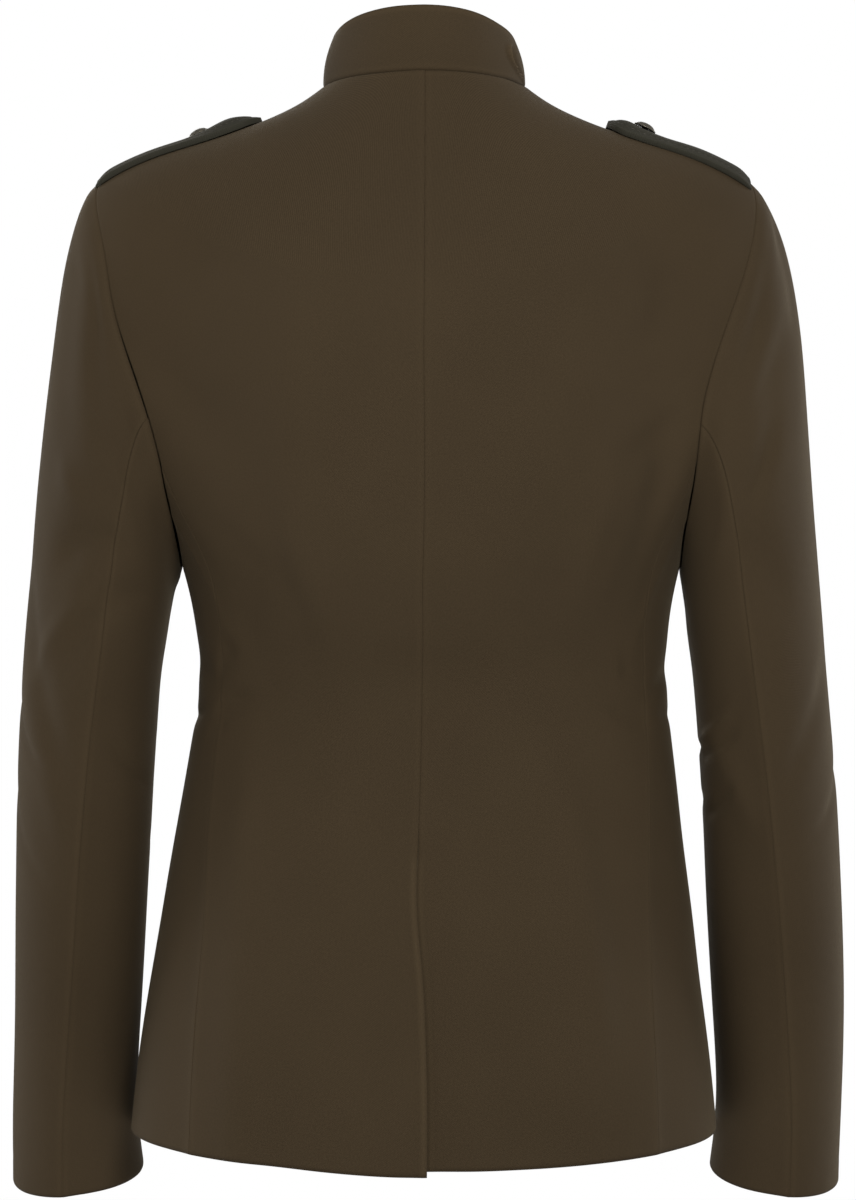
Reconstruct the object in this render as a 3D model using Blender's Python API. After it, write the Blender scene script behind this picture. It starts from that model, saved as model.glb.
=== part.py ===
"""A women's fitted blazer with a stand collar and epaulettes, in the shape that it takes when it is worn.

The front faces -Y, the wearer's left is +X, and Z is up. The origin is midway between the two points where the
shoulder seams reach the collar. The sizes below are in millimetres, and the meshes are in metres.
"""

import math

import bmesh
import bpy
import numpy as np

for thing in list(bpy.data.objects):
    bpy.data.objects.remove(thing)

MM = 0.001
WALL = 2.0  # cloth with its lining, pressed together
SEAM_GAP = 0.3  # between two pieces that are sewn together
LAYER_GAP = 0.4  # between a piece and the one that lies on it

HEM = -629.0
NECK = 2.0
SHOULDER_TIP = -160.0
UNDERARM = -330.0
VENT_TOP = -455.0
FLAP_DROP = 3.0  # the vent's flap hangs this much lower at its edge
UNDERLAP = np.array([17.0, 10.0, 4.0])  # columns of the vent's underlap, in degrees past the centre seam
FRONT_EDGE = {-1: 188.0, 1: 189.0}  # where each front ends, in degrees: the right one lies over the left one

# Rings round the body, from the hem to the neck. Each is named by its height at the centre back.
# half: half of the width. side_z: height at the side. sway: sideways shift. back and front: how far it stands out
# behind and before the side. back_square and front_square: 0 is an ellipse, more is squarer, less is more pointed.
RINGS = np.array([
    # level, half, side_z, sway, back, back_square, front, front_z, front_square
    [-640, 175.5, -632, -0.3, 113, 0.10, 127, -642, 0.05],
    [-590, 170, -577, 0.0, 110, 0.10, 124, -594, 0.05],
    [-545, 164, -534, 0.3, 105, 0.10, 120, -548, 0.05],
    [-500, 157.5, -490, 1.5, 98, 0.10, 115, -502, 0.04],
    [-455, 151.3, -446, 2.3, 88, 0.10, 109, -456, 0.02],
    [-415, 146, -408, 3.7, 79, 0.09, 104, -415, 0.0],
    [-380, 141, -374, 4.8, 74, 0.08, 101, -378, -0.02],
    [-355, 139.5, -350, 5.0, 73.5, 0.08, 102, -350, -0.05],
    [-342, 141, -320, 4.5, 76, 0.09, 106, -330, -0.08],
    [-330, 148, -286, 4.0, 80, 0.10, 112, -308, -0.12],
    [-300, 181, -213, 2.5, 87.5, 0.10, 124, -272, -0.18],
    [-268, 207, -150, 2.0, 93.5, 0.10, 132, -240, -0.20],
    [-235, 218, -104, 1.5, 97.5, 0.10, 134, -212, -0.20],
    [-200, 211, -76, 0.8, 99, 0.10, 131, -186, -0.18],
    [-160, 193, -56.5, 0.0, 97, 0.08, 122, -160, -0.14],
    [-125, 165, -42.5, 0.0, 93.5, 0.06, 112, -138, -0.10],
    [-90, 135, -33.3, 0.0, 88, 0.05, 101, -116, -0.06],
    [-55, 104, -23, 0.0, 80.5, 0.04, 90, -97, -0.03],
    [-25, 77, -11.5, 0.0, 72, 0.02, 81, -83, 0.0],
    [2, 60, -0.5, 0.0, 62, 0.0, 72, -70, 0.0],
])

# Where the seams run, as degrees round the body from the centre back, at each level.
CENTRE_SEAM = np.array([
    # level, degrees
    [-640, -0.5], [-560, -0.3], [-520, 0.6], [-485, 1.95], [-455, 2.2], [-400, 2.3], [-355, 2.4], [-325, 1.6],
    [-268, 0.6], [-160, 0.1], [2, -0.3],
])
SIDE_BACK_SEAM = np.array([
    # level, degrees
    [-640, 47.5], [-560, 50], [-500, 52.5], [-455, 55.5], [-415, 58.5], [-380, 61], [-355, 61], [-340, 58.5],
    [-325, 54.5], [-305, 51.8], [-287.5, 50.68],
])
SIDE_FRONT_SEAM = np.array([
    # level, degrees
    [-640, 122], [-560, 121], [-500, 119], [-450, 116], [-400, 113.5], [-355, 114], [-340, 115.5], [-320, 116.8],
    [-305.1, 116.2],
])

# Soft folds pressed into the body. Each runs between two points, given as degrees from the centre back and level.
# side: 1 is the wearer's left and -1 the right. width: from its middle to where it fades. depth: out is positive.
FOLDS = [
    # side, degrees, level, degrees, level, width, depth
    (-1, 42, -110, 44, -215, 15, -2.6),
    (-1, 40, -225, 50, -262, 13, -1.8),
    (-1, 29, -235, 36, -330, 13, 1.8),
    (-1, 20, -300, 22, -390, 14, -1.4),
    (1, 38, -150, 34, -250, 26, -2.2),
    (1, 16, -280, 18, -380, 15, 1.4),
    (1, 30, -300, 48, -345, 12, -1.3),
    (-1, 34, -345, 60, -375, 10, -1.5),
    (1, 36, -352, 62, -380, 10, -1.5),
    (-1, 14, -420, 13, -560, 16, -1.8),
    (-1, 27, -450, 27, -590, 16, 1.8),
    (1, 28, -440, 27, -580, 18, 1.5),
    (-1, 150, -250, 138, -350, 16, -2.0),
    (1, 149, -240, 137, -345, 15, -1.8),
    (1, 160, -360, 130, -378, 9, -1.6),
    (-1, 162, -352, 132, -372, 9, -1.6),
    (-1, 150, -430, 148, -590, 18, 1.8),
    (1, 146, -440, 145, -600, 17, 1.6),
]

# The armhole: how far it reaches from the side line, in degrees, at places round it. Places are degrees too: 0 is
# the shoulder tip, 90 the back, 180 the underarm and 270 the front. The two backs are worn a little unevenly.
ARMHOLE_BACK = np.array([
    # place, left, right
    [0, 25, 24.5], [20, 28, 25.5], [40, 34, 29.5], [60, 36, 35.5], [75, 37.3, 41], [90, 40, 43.5], [105, 43, 44.8],
    [120, 45.4, 45.4], [150, 46.3, 46.7], [180, 47.5, 48.5],
])
ARMHOLE_FRONT = {"middle": 33.5, "less_at_top": 5.0}
SIDE_BACK_AT = 120.0  # where the side back seam meets the armhole
SIDE_FRONT_AT = 225.0

# Rings of the sleeve, from the armhole to the cuff. outer and inner: its two edges seen from behind, and outer_right
# is the right sleeve's own outer_x. back and front: its reach in Y. drop: how much lower the back edge hangs.
# cap: how much of the armhole's own curve is left in the ring.
SLEEVE_NAMES = "outer_x outer_right outer_z inner_x inner_z back front drop cap".split()
SLEEVE = np.array([
    # outer_x, outer_right, outer_z, inner_x, inner_z, back, front, drop, cap
    [193, 193, -56.5, 148, -286, 62, -58, 0, 1.0],
    [202, 202.5, -68, 149.3, -290, 64, -60, 0, 0.85],
    [209.5, 212.5, -90, 150.3, -295, 65.5, -61, 0, 0.66],
    [215.5, 220, -121, 151.4, -301, 66.5, -61, 0, 0.47],
    [220.5, 224.8, -160, 152.6, -309, 67, -60, 0, 0.30],
    [225.2, 227.6, -198, 154, -319, 66.5, -59, 0, 0.16],
    [229.6, 230.4, -240, 156, -333, 65.5, -57.5, 0, 0.06],
    [233.2, 233.2, -281, 158, -349, 64, -56, 0, 0.01],
    [237.2, 237, -325, 160.2, -372, 60.5, -54.5, 1, 0],
    [240.4, 241, -370, 162.4, -400, 56, -55, 2, 0],
    [242.6, 245, -415, 164.6, -434, 49, -58, 3.5, 0],
    [244.2, 248.4, -460, 167, -472, 40.5, -62.5, 5, 0],
    [245.6, 251, -506, 169.6, -513, 31, -68, 6, 0],
    [247, 252.4, -552, 172.5, -554, 20.5, -74.5, 7, 0],
    [248.4, 252.6, -596, 175.3, -594, 10, -81, 8, 0],
    [249.8, 252, -630, 174.8, -625, 2.5, -86.5, 8, 0],
    [250.5, 251.5, -657, 172, -650, -2, -90, 8, 0],
])
SLEEVE_SWAY = 1.5  # both inner edges stand this much to the right
# The sleeve's two seams: ring, and degrees round the sleeve.
HINDARM_SEAM = np.array([[0, 105], [4, 105], [8, 102], [10, 96], [12, 91], [14, 86], [16, 82]])
FOREARM_SEAM = np.array([[0, 255], [4, 250], [8, 246], [12, 244], [16, 243]])
SLEEVE_FOLDS = [
    # side, degrees round the sleeve, ring, degrees, ring, width, depth
    (1, 20, 7.2, 75, 9.4, 9, -2.0),
    (1, 30, 8.4, 85, 10.6, 9, 1.6),
    (-1, 25, 8.4, 80, 9.6, 9, -1.8),
    (-1, 150, 8.6, 110, 10.2, 9, 1.6),
    (1, 40, 1.6, 50, 4.5, 12, -1.6),
    (-1, 40, 1.6, 52, 4.5, 12, -1.6),
    (1, 300, 9.0, 230, 9.6, 10, -2.2),
    (-1, 300, 9.3, 232, 9.2, 10, -2.2),
]

# The collar, by degrees from the centre back: height up its own slope, and how far its top leans in.
COLLAR = np.array([
    # degrees, height, lean
    [0, 38.5, 4.5], [30, 37.5, 5], [60, 33.5, 5.5], [90, 29, 5.5], [130, 31, 5], [178, 33, 5],
])
COLLAR_END = 177.0
COLLAR_TILT = 2.5  # its right side stands lower
COLLAR_SWELL = 1.2  # it bows out half-way up
COLLAR_CORNER = 0.28  # its front corners are rounded off by this share of its height

# The epaulettes, from the outer end to the nose. lift: how far the strap's middle stands off the shoulder. Each
# is pulled down by its button and springs up before its nose.
EPAULETTE = {
    1: np.array([
        # level, half_width, lift
        [-158, 22.5, 0.5], [-135, 22, 0.7], [-112, 21.5, 1.1], [-99, 21, 1.5], [-88, 20.8, 2.6], [-80, 20.5, 3.9],
        [-73, 20, 5.2], [-65, 19, 5.8], [-58, 16, 4.6], [-53, 12, 2.8], [-49, 6, 1.0], [-47, 2.5, 0.3],
    ]),
    -1: np.array([
        # level, half_width, lift
        [-158, 22.5, 1.0], [-135, 22, 1.5], [-118, 21.5, 2.0], [-100, 21, 2.1], [-91, 20.8, 2.7], [-84, 20.6, 3.4],
        [-78, 20.3, 4.3], [-73, 20, 5.1], [-69, 18, 5.1], [-65, 14, 4.2], [-61.5, 8.5, 2.8], [-59, 3, 1.6],
    ]),
}
EPAULETTE_WALL = 3.2
EPAULETTE_SHIFT = {1: -5.0, -1: 0.0}  # the left one sits a little to the front
EPAULETTE_CURVE = 7.0  # its outer end follows the armhole, so that its corners are this much lower
EPAULETTE_BUTTON = {"radius": 7.0, "height": 3.4}
# Each button's distance from the middle, its place behind the shoulder line, and its gap above the strap.
EPAULETTE_BUTTON_AT = {1: (133.5, -8.0, 1.15), -1: (130.0, -1.0, 0.7)}

FRONT_BUTTONS = [-88, -162, -236, -310, -384]  # heights


def curve_slopes(places, values):
    """The slope at each row that gives a curve with no sudden change of bend."""
    step = np.diff(places)
    rise = np.diff(values) / step
    count = len(places)
    matrix = np.zeros((count, count))
    wanted = np.zeros(count)
    matrix[0, :2] = 2, 1
    wanted[0] = 3 * rise[0]
    matrix[-1, -2:] = 1, 2
    wanted[-1] = 3 * rise[-1]
    for row in range(1, count - 1):
        matrix[row, row - 1 : row + 2] = step[row], 2 * (step[row - 1] + step[row]), step[row - 1]
        wanted[row] = 3 * (step[row] * rise[row - 1] + step[row - 1] * rise[row])
    return np.linalg.solve(matrix, wanted)


def smooth(table, column, at):
    """The column's value at a place between the table's rows, along a smooth curve through them."""
    places = table[:, 0]
    values = table[:, column]
    slopes = curve_slopes(places, values)
    at = np.clip(np.asarray(at, float), places[0], places[-1])
    row = np.clip(np.searchsorted(places, at) - 1, 0, len(places) - 2)
    step = places[row + 1] - places[row]
    part = (at - places[row]) / step
    rest = 1 - part
    return (
        values[row] * (1 + 2 * part) * rest**2
        + values[row + 1] * (3 - 2 * part) * part**2
        + step * (slopes[row] * part * rest**2 - slopes[row + 1] * part**2 * rest)
    )


def fade(value, start, end):
    """0 at the start, 1 at the end, and a soft curve between them."""
    part = np.clip((value - start) / (end - start), 0, 1)
    return part * part * (3 - 2 * part)


def fold_height(folds, side, degrees, level, size):
    """How far the folds move a point out. size turns degrees and levels into mm."""
    height = 0
    for fold_side, degrees_a, level_a, degrees_b, level_b, width, depth in folds:
        if fold_side != side:
            continue
        start = np.array([degrees_a * size[0], level_a * size[1]])
        run = np.array([degrees_b * size[0], level_b * size[1]]) - start
        away_x = degrees * size[0] - start[0]
        away_y = level * size[1] - start[1]
        length = np.hypot(*run)
        along = (away_x * run[0] + away_y * run[1]) / length**2
        across = (away_x * run[1] - away_y * run[0]) / length
        ends = np.exp(-np.maximum(0, np.abs(along - 0.5) - 0.3) ** 2 / 0.06)
        height = height + depth * ends * np.exp(-((across / width) ** 2))
    return height


def body(degrees, level, side=1):
    """A point of the worn cloth's outer face. degrees run from the centre back, 90 is the side, 180 the front."""
    degrees = np.asarray(degrees, float)
    half, side_z, sway, back, back_square, front, front_z, front_square = (
        smooth(RINGS, column, level) for column in range(1, 9)
    )
    sine = np.sin(np.radians(degrees))
    cosine = np.cos(np.radians(degrees))
    behind = cosine > 0
    square = np.where(behind, back_square, front_square)
    depth = np.where(behind, back, front)
    end_z = np.where(behind, level, front_z)
    bump = fold_height(FOLDS, side, degrees, level, (2.3, 1.0))
    x = side * (half * sine * (1 + square * cosine**2) + bump * sine) - sway
    y = depth * cosine * (1 + square * sine**2) + bump * cosine
    # Towards the neck the front dips sooner, so that the neckline is round and not a V.
    bend = np.where(behind, 2.0, 2.0 - 0.6 * fade(level, -100, NECK))
    share = np.abs(cosine) ** bend
    z = side_z * (1 - share) + end_z * share
    return np.stack(np.broadcast_arrays(x, y, z), axis=-1)


def armhole(around, side):
    """Degrees and level of the place on the body that the armhole passes."""
    turn = np.radians(np.asarray(around, float))
    level = UNDERARM + (SHOULDER_TIP - UNDERARM) * (1 + np.cos(turn)) / 2
    back_reach = smooth(ARMHOLE_BACK, 1 if side > 0 else 2, np.degrees(np.arccos(np.cos(turn))))
    front_reach = ARMHOLE_FRONT["middle"] - ARMHOLE_FRONT["less_at_top"] * np.cos(turn)
    reach = np.where(np.sin(turn) > 0, back_reach, front_reach)
    return 90 - reach * np.sin(turn), level


def sleeve(around, ring, side=1):
    """A point of the sleeve's outer face. around: 0 is the outer edge, 90 the back, 180 the inner edge."""
    around = np.asarray(around, float)
    rows = np.column_stack([np.arange(len(SLEEVE)), SLEEVE])
    outer_x, outer_right, outer_z, inner_x, inner_z, back, front, drop, cap = (
        smooth(rows, column, ring) for column in range(1, 10)
    )
    outer_x = outer_x if side > 0 else outer_right
    first = dict(zip(SLEEVE_NAMES, SLEEVE[0]))
    cosine = np.cos(np.radians(around))
    sine = np.sin(np.radians(around))
    edge = body(*armhole(around, side), side)
    base_x = (first["outer_x"] * (1 + cosine) + first["inner_x"] * (1 - cosine)) / 2
    base_y = (first["back"] * (1 + sine) + first["front"] * (1 - sine)) / 2
    base_z = (first["outer_z"] * (1 + cosine) + first["inner_z"] * (1 - cosine)) / 2
    bump = fold_height(SLEEVE_FOLDS, side, around, ring, (0.8, 38.0)) * fade(ring, 0.5, 2.0)
    x = (outer_x * (1 + cosine) + inner_x * (1 - cosine)) / 2 + cap * (side * edge[..., 0] - base_x)
    y = (back * (1 + sine) + front * (1 - sine)) / 2 + cap * (edge[..., 1] - base_y)
    z = (outer_z * (1 + cosine) + inner_z * (1 - cosine)) / 2 + cap * (edge[..., 2] - base_z)
    sway = SLEEVE_SWAY * (1 - cap) * (1 - cosine) / 2
    return np.stack([side * (x + bump * cosine) - sway, y + bump * sine, z - drop * sine], axis=-1)


def unit(vectors):
    return vectors / np.maximum(np.linalg.norm(vectors, axis=-1, keepdims=True), 1e-12)


def facing(surface, first, second, step, side):
    """The outward normal of a surface of two values, from small steps each way."""
    along_first = surface(first + step[0], second, side) - surface(first - step[0], second, side)
    along_second = surface(first, second + step[1], side) - surface(first, second - step[1], side)
    return side * unit(np.cross(along_second, along_first))


def body_facing(degrees, level, side):
    return facing(body, degrees, level, (0.5, 1.0), side)


def pull_in(points, sides):
    """Moves the named edges of a grid of points half of a seam gap back from the seam."""
    points = points.copy()
    half_gap = SEAM_GAP / 2
    if "left" in sides:
        points[:, 0] += half_gap * unit(points[:, 1] - points[:, 0])
    if "right" in sides:
        points[:, -1] += half_gap * unit(points[:, -2] - points[:, -1])
    if "bottom" in sides:
        points[0] += half_gap * unit(points[1] - points[0])
    if "top" in sides:
        points[-1] += half_gap * unit(points[-2] - points[-1])
    return points


def material(name, colour, metal=0.0, rough=0.85):
    made = bpy.data.materials.new(name)
    made.use_nodes = True
    shader = made.node_tree.nodes["Principled BSDF"]
    shader.inputs["Base Color"].default_value = (*colour, 1)
    shader.inputs["Metallic"].default_value = metal
    shader.inputs["Roughness"].default_value = rough
    return made


def add(name, bm, made):
    bmesh.ops.recalc_face_normals(bm, faces=bm.faces)
    if bm.calc_volume(signed=True) < 0:
        bmesh.ops.reverse_faces(bm, faces=bm.faces)
    mesh = bpy.data.meshes.new(name)
    bm.to_mesh(mesh)
    bm.free()
    mesh.materials.append(made)
    thing = bpy.data.objects.new(name, mesh)
    bpy.context.scene.collection.objects.link(thing)
    return thing


def cloth(name, outer, inner, colour, left_out=None):
    """A solid between two grids of points. left_out tells which squares of the grid the piece doesn't have."""
    rows, columns = outer.shape[:2]
    bm = bmesh.new()
    bmesh.ops.create_grid(bm, x_segments=columns - 1, y_segments=rows - 1, size=1)
    place = bm.verts.layers.int.new("place")
    for vertex in bm.verts:
        column = round((vertex.co.x + 1) / 2 * (columns - 1))
        row = round((vertex.co.y + 1) / 2 * (rows - 1))
        vertex[place] = row * columns + column
    if left_out is not None:
        corner = {face: min(vertex[place] for vertex in face.verts) for face in bm.faces}
        spare = [face for face, at in corner.items() if left_out[at // columns, at % columns]]
        bmesh.ops.delete(bm, geom=spare, context="FACES")
    outer_points = outer.reshape(-1, 3) * MM
    inner_points = inner.reshape(-1, 3) * MM
    made = bmesh.ops.extrude_face_region(bm, geom=bm.faces[:], use_keep_orig=True)
    for vertex in bm.verts:
        vertex.co = outer_points[vertex[place]]
    for vertex in (item for item in made["geom"] if isinstance(item, bmesh.types.BMVert)):
        vertex.co = inner_points[vertex[place]]
    return add(name, bm, material(name, colour))


CLOTH = (0.053, 0.040, 0.022)
STRAP = (0.034, 0.031, 0.022)
METAL = (0.30, 0.27, 0.20)

BACK_LEVELS = np.array([HEM, -600, -570, -538, -505, -480, -455, -425, -395, -368, -342, -315])
FRONT_LEVELS = np.array([HEM, -600, -570, -538, -505, -480, -455, -425, -395, -370, -348, -326])
SHOULDER_LEVELS = np.array([-125, -90, -55, -25, NECK])
# Where the columns of a back and of a front panel stand, from 0 at one edge to 1 at the other.
BACK_PARTS = np.array([0, 0.07, 0.18, 0.32, 0.46, 0.6, 0.74, 0.88, 1.0])
FRONT_PARTS = np.array([0, 0.14, 0.3, 0.46, 0.62, 0.78, 1.0])
FRONT_FIXED = np.array([170.0, 176.0, 182.0])


def back_panel(name, side):
    """From the centre back seam to the side back seam, the armhole and the shoulder seam."""
    edge_turns = np.arange(SIDE_BACK_AT, -1, -15.0)
    edge_degrees, edge_levels = armhole(edge_turns, side)
    levels = np.concatenate([BACK_LEVELS, edge_levels, SHOULDER_LEVELS])
    shoulder = np.full(len(SHOULDER_LEVELS), 90.0)
    far = np.concatenate([smooth(SIDE_BACK_SEAM, 1, BACK_LEVELS), edge_degrees, shoulder])
    near = side * smooth(CENTRE_SEAM, 1, levels)
    degrees = near[:, None] + (far - near)[:, None] * BACK_PARTS
    level = np.repeat(levels[:, None], len(BACK_PARTS), axis=1)
    if side > 0:
        # The flap of the vent hangs a little lower.
        level[0] -= FLAP_DROP * (1 - fade(degrees[0], 4, 30))
    left_out = None
    sink = np.zeros_like(degrees)
    if side < 0:
        # The underlap has more columns on the other side of the seam, kept only below the top of the vent.
        degrees = np.concatenate([near[:, None] - UNDERLAP, degrees], axis=1)
        level = np.repeat(levels[:, None], degrees.shape[1], axis=1)
        near_edge = 1 - fade(degrees - near[:, None], 1.5, 9.0)
        sink = (WALL + LAYER_GAP) * near_edge * (1 - fade(level, VENT_TOP, VENT_TOP + 26))
        left_out = np.zeros(degrees.shape, bool)
        left_out[levels >= VENT_TOP, :3] = True
    outer = body(degrees, level, side)
    normal = body_facing(degrees, level, side)
    outer = outer - normal * sink[..., None]
    if side < 0:
        seam = outer[:, 3] + SEAM_GAP / 2 * unit(outer[:, 4] - outer[:, 3])
        above = levels >= VENT_TOP
        outer[above, 3] = seam[above]
        outer = pull_in(outer, "right top")
    else:
        outer = pull_in(outer, "left right top")
    return cloth(name, outer, outer - normal * WALL, CLOTH, left_out)


def side_panel(name, side):
    """From the side back seam to the side front seam, with the bottom of the armhole as its top edge."""
    turns = np.arange(SIDE_BACK_AT, SIDE_FRONT_AT + 1, 15.0)
    top_degrees, top_levels = armhole(turns, side)
    from_back = smooth(SIDE_BACK_SEAM, 1, top_levels)
    from_front = smooth(SIDE_FRONT_SEAM, 1, top_levels)
    share = (top_degrees - from_back) / (from_front - from_back)
    share[0] = 0
    share[-1] = 1
    back_edge = np.append(BACK_LEVELS, top_levels[0])
    front_edge = np.append(FRONT_LEVELS, top_levels[-1])
    level = back_edge[:, None] * (1 - share) + front_edge[:, None] * share
    level = HEM + (level - HEM) * (top_levels - HEM) / (level[-1] - HEM)
    seam_back = smooth(SIDE_BACK_SEAM, 1, level)
    seam_front = smooth(SIDE_FRONT_SEAM, 1, level)
    degrees = seam_back * (1 - share) + seam_front * share
    degrees[-1] = top_degrees
    outer = pull_in(body(degrees, level, side), "left right top")
    return cloth(name, outer, outer - body_facing(degrees, level, side) * WALL, CLOTH)


def front_panel(name, side):
    """From the side front seam, the armhole and the shoulder seam to the finished edge at the centre front."""
    edge_turns = np.arange(SIDE_FRONT_AT, 361, 15.0)
    edge_degrees, edge_levels = armhole(edge_turns, side)
    levels = np.concatenate([FRONT_LEVELS, edge_levels, SHOULDER_LEVELS])
    shoulder = np.full(len(SHOULDER_LEVELS), 90.0)
    near = np.concatenate([smooth(SIDE_FRONT_SEAM, 1, FRONT_LEVELS), edge_degrees, shoulder])
    to_front = near[:, None] + (FRONT_FIXED[0] - 4 - near)[:, None] * FRONT_PARTS
    fixed = np.tile(np.append(FRONT_FIXED, FRONT_EDGE[side]), (len(levels), 1))
    degrees = np.concatenate([to_front, fixed], axis=1)
    level = np.repeat(levels[:, None], degrees.shape[1], axis=1)
    outer = body(degrees, level, side)
    normal = body_facing(degrees, level, side)
    if side > 0:
        # The left front dips beneath the right one.
        dip = (WALL + LAYER_GAP) * fade(degrees, 150, 169)
        outer = outer - normal * dip[..., None]
    outer = pull_in(outer, "left top")
    return cloth(name, outer, outer - normal * WALL, CLOTH)


def sleeve_facing(around, ring, side):
    return facing(sleeve, around, ring, (1.0, 0.02), side)


def sleeve_piece(name, side, start, end, columns):
    """One of the sleeve's two pieces, between its two seams."""
    rings = np.arange(0, len(SLEEVE) - 0.5, 1.0)
    parts = np.linspace(0, 1, columns)
    low = start(rings)[:, None]
    high = end(rings)[:, None]
    around = low + (high - low) * parts
    # The first ring keeps the armhole's own places, so that the two edges match.
    around[0] = np.arange(round(low[0, 0]), round(high[0, 0]) + 1, 15.0)
    ring = np.repeat(rings[:, None], columns, axis=1)
    outer = sleeve(around, ring, side)
    normal = sleeve_facing(around, ring, side)
    inward = normal.copy()
    # At the armhole the wall ends square to the body panel, and a seam gap from it.
    degrees, level = armhole(around[0], side)
    panel = body_facing(degrees, level, side)
    ahead = armhole(around[0] + 1.0, side)
    behind = armhole(around[0] - 1.0, side)
    tangent = unit(body(*ahead, side) - body(*behind, side))
    away = side * unit(np.cross(tangent, panel))
    outer[0] += SEAM_GAP * (away + panel)
    inward[0] = unit(normal[0] - np.maximum(0, (normal[0] * away).sum(-1, keepdims=True)) * away)
    outer = pull_in(outer, "left right")
    return cloth(name, outer, outer - inward * WALL, CLOTH)


def collar_point(degrees, height, side=1):
    """A point of the collar's outer face. height: 0 at its seam and 1 at its top edge."""
    at = np.abs(degrees)
    ring = body(at, np.full_like(at, NECK))
    ahead = body(at + 1.0, np.full_like(at, NECK)) - body(at - 1.0, np.full_like(at, NECK))
    along = unit(ahead)
    outward = unit(np.stack([-along[..., 1], along[..., 0], 0 * at], axis=-1))
    up = unit(np.cross(outward, along))
    up = np.where(up[..., 2:] < 0, -up, up)
    tilt = COLLAR_TILT * fade(-degrees, 5, 60) * fade(degrees, -165, -110)
    rise = SEAM_GAP + (smooth(COLLAR, 1, at) - tilt) * height
    swell = COLLAR_SWELL * np.sin(math.pi * height)
    lean = smooth(COLLAR, 2, at) * np.maximum(height, 0) ** 1.3 - swell
    points = ring + up * rise[..., None] - outward * lean[..., None]
    points[..., 0] *= np.where(degrees < 0, -1, 1)
    return points


def neck_degrees(side):
    """The panels' own columns at the neck, so that the collar's lower edge has the same corners."""
    near = side * smooth(CENTRE_SEAM, 1, NECK)
    behind = near + (90 - near) * BACK_PARTS
    before = 90 + (FRONT_FIXED[0] - 4 - 90) * FRONT_PARTS[1:]
    return side * np.concatenate([behind, before, FRONT_FIXED[:2], [COLLAR_END]])


def collar():
    degrees = np.concatenate([neck_degrees(-1)[:0:-1], neck_degrees(1)])
    heights = np.array([0, 0.25, 0.5, 0.75, 1.0])
    at, height = np.meshgrid(degrees, heights)
    # The front corners are rounded off.
    corner = fade(np.abs(at), 166, COLLAR_END)
    height = height * (1 - COLLAR_CORNER * corner**2)
    outer = collar_point(at, height)
    step = 0.5
    along = collar_point(at + step, height) - collar_point(at - step, height)
    upward = collar_point(at, height + 0.02) - collar_point(at, height - 0.02)
    normal = unit(np.cross(upward, along))
    return cloth("collar", outer, outer - normal * WALL, CLOTH)


def strap_degrees(y, level):
    """Degrees round the body where a ring passes a distance y behind the shoulder line."""
    depth = np.where(y > 0, smooth(RINGS, 4, level), smooth(RINGS, 6, level))
    square = np.where(y > 0, smooth(RINGS, 5, level), smooth(RINGS, 8, level))
    return 90 - np.degrees(np.arcsin(y / (depth * (1 + square))))


def strap_surface(side, level, across):
    """The epaulette's lower face, at a level and a place across it from -1 to 1."""
    y = smooth(EPAULETTE[side], 1, level) * across + EPAULETTE_SHIFT[side]
    lift = smooth(EPAULETTE[side], 2, level) * (1 - across**2)
    degrees = strap_degrees(y, level)
    normal = body_facing(degrees, level, side)
    return body(degrees, level, side) + normal * (LAYER_GAP + lift)[..., None], normal


def epaulette(name, side):
    level = EPAULETTE[side][:, 0][:, None]
    across = np.linspace(-1, 1, 9)
    level, across = np.broadcast_arrays(level, across)
    level = level - EPAULETTE_CURVE * across**2 * (1 - fade(level, -158, -120))
    lower, normal = strap_surface(side, level, across)
    return cloth(name, lower + normal * EPAULETTE_WALL, lower, STRAP)


def button(name, base, out, radius, height):
    """A domed metal button, turned from its outline."""
    outline = [(0, 0), (0.93, 0), (1.0, 0.12), (0.98, 0.3), (0.86, 0.55), (0.66, 0.78), (0.4, 0.94), (0, 1.0)]
    bm = bmesh.new()
    corners = [bm.verts.new((r * radius * MM, 0, z * height * MM)) for r, z in outline]
    edges = [bm.edges.new(pair) for pair in zip(corners, corners[1:])]
    bmesh.ops.spin(
        bm, geom=corners + edges, cent=(0, 0, 0), axis=(0, 0, 1), angle=2 * math.pi, steps=16, use_merge=True
    )
    bmesh.ops.remove_doubles(bm, verts=bm.verts, dist=1e-6)
    out = unit(np.asarray(out, float))
    flat = unit(np.cross((0, 1, 0) if abs(out[1]) < 0.9 else (1, 0, 0), out))
    other = np.cross(out, flat)
    for vertex in bm.verts:
        vertex.co = base * MM + vertex.co.x * flat + vertex.co.y * other + vertex.co.z * out
    return add(name, bm, material(name, METAL, 1.0, 0.35))


def epaulette_button(name, side):
    distance, behind, gap = EPAULETTE_BUTTON_AT[side]
    levels = np.linspace(-150, -60, 400)
    across = (behind - EPAULETTE_SHIFT[side]) / smooth(EPAULETTE[side], 1, levels)
    lower, normal = strap_surface(side, levels, across)
    at = np.argmin(np.abs(np.abs(lower[:, 0]) - distance))
    # The button stands square to the strap's own upper face.
    upper = lower + normal * EPAULETTE_WALL
    along = upper[at + 8] - upper[at - 8]
    out = unit(np.cross(along, (0, 1, 0)))
    out = out if out[2] > 0 else -out
    return button(name, upper[at] + out * gap, out, EPAULETTE_BUTTON["radius"], EPAULETTE_BUTTON["height"])


def front_button(name, height):
    levels = np.linspace(HEM, NECK, 1000)
    level = np.interp(height, smooth(RINGS, 7, levels), levels)
    point = body(180.0, level, -1)
    out = body_facing(np.array(180.0), level, -1)
    return button(name, point + out * 0.5, out, 10.0, 6.5)


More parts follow.
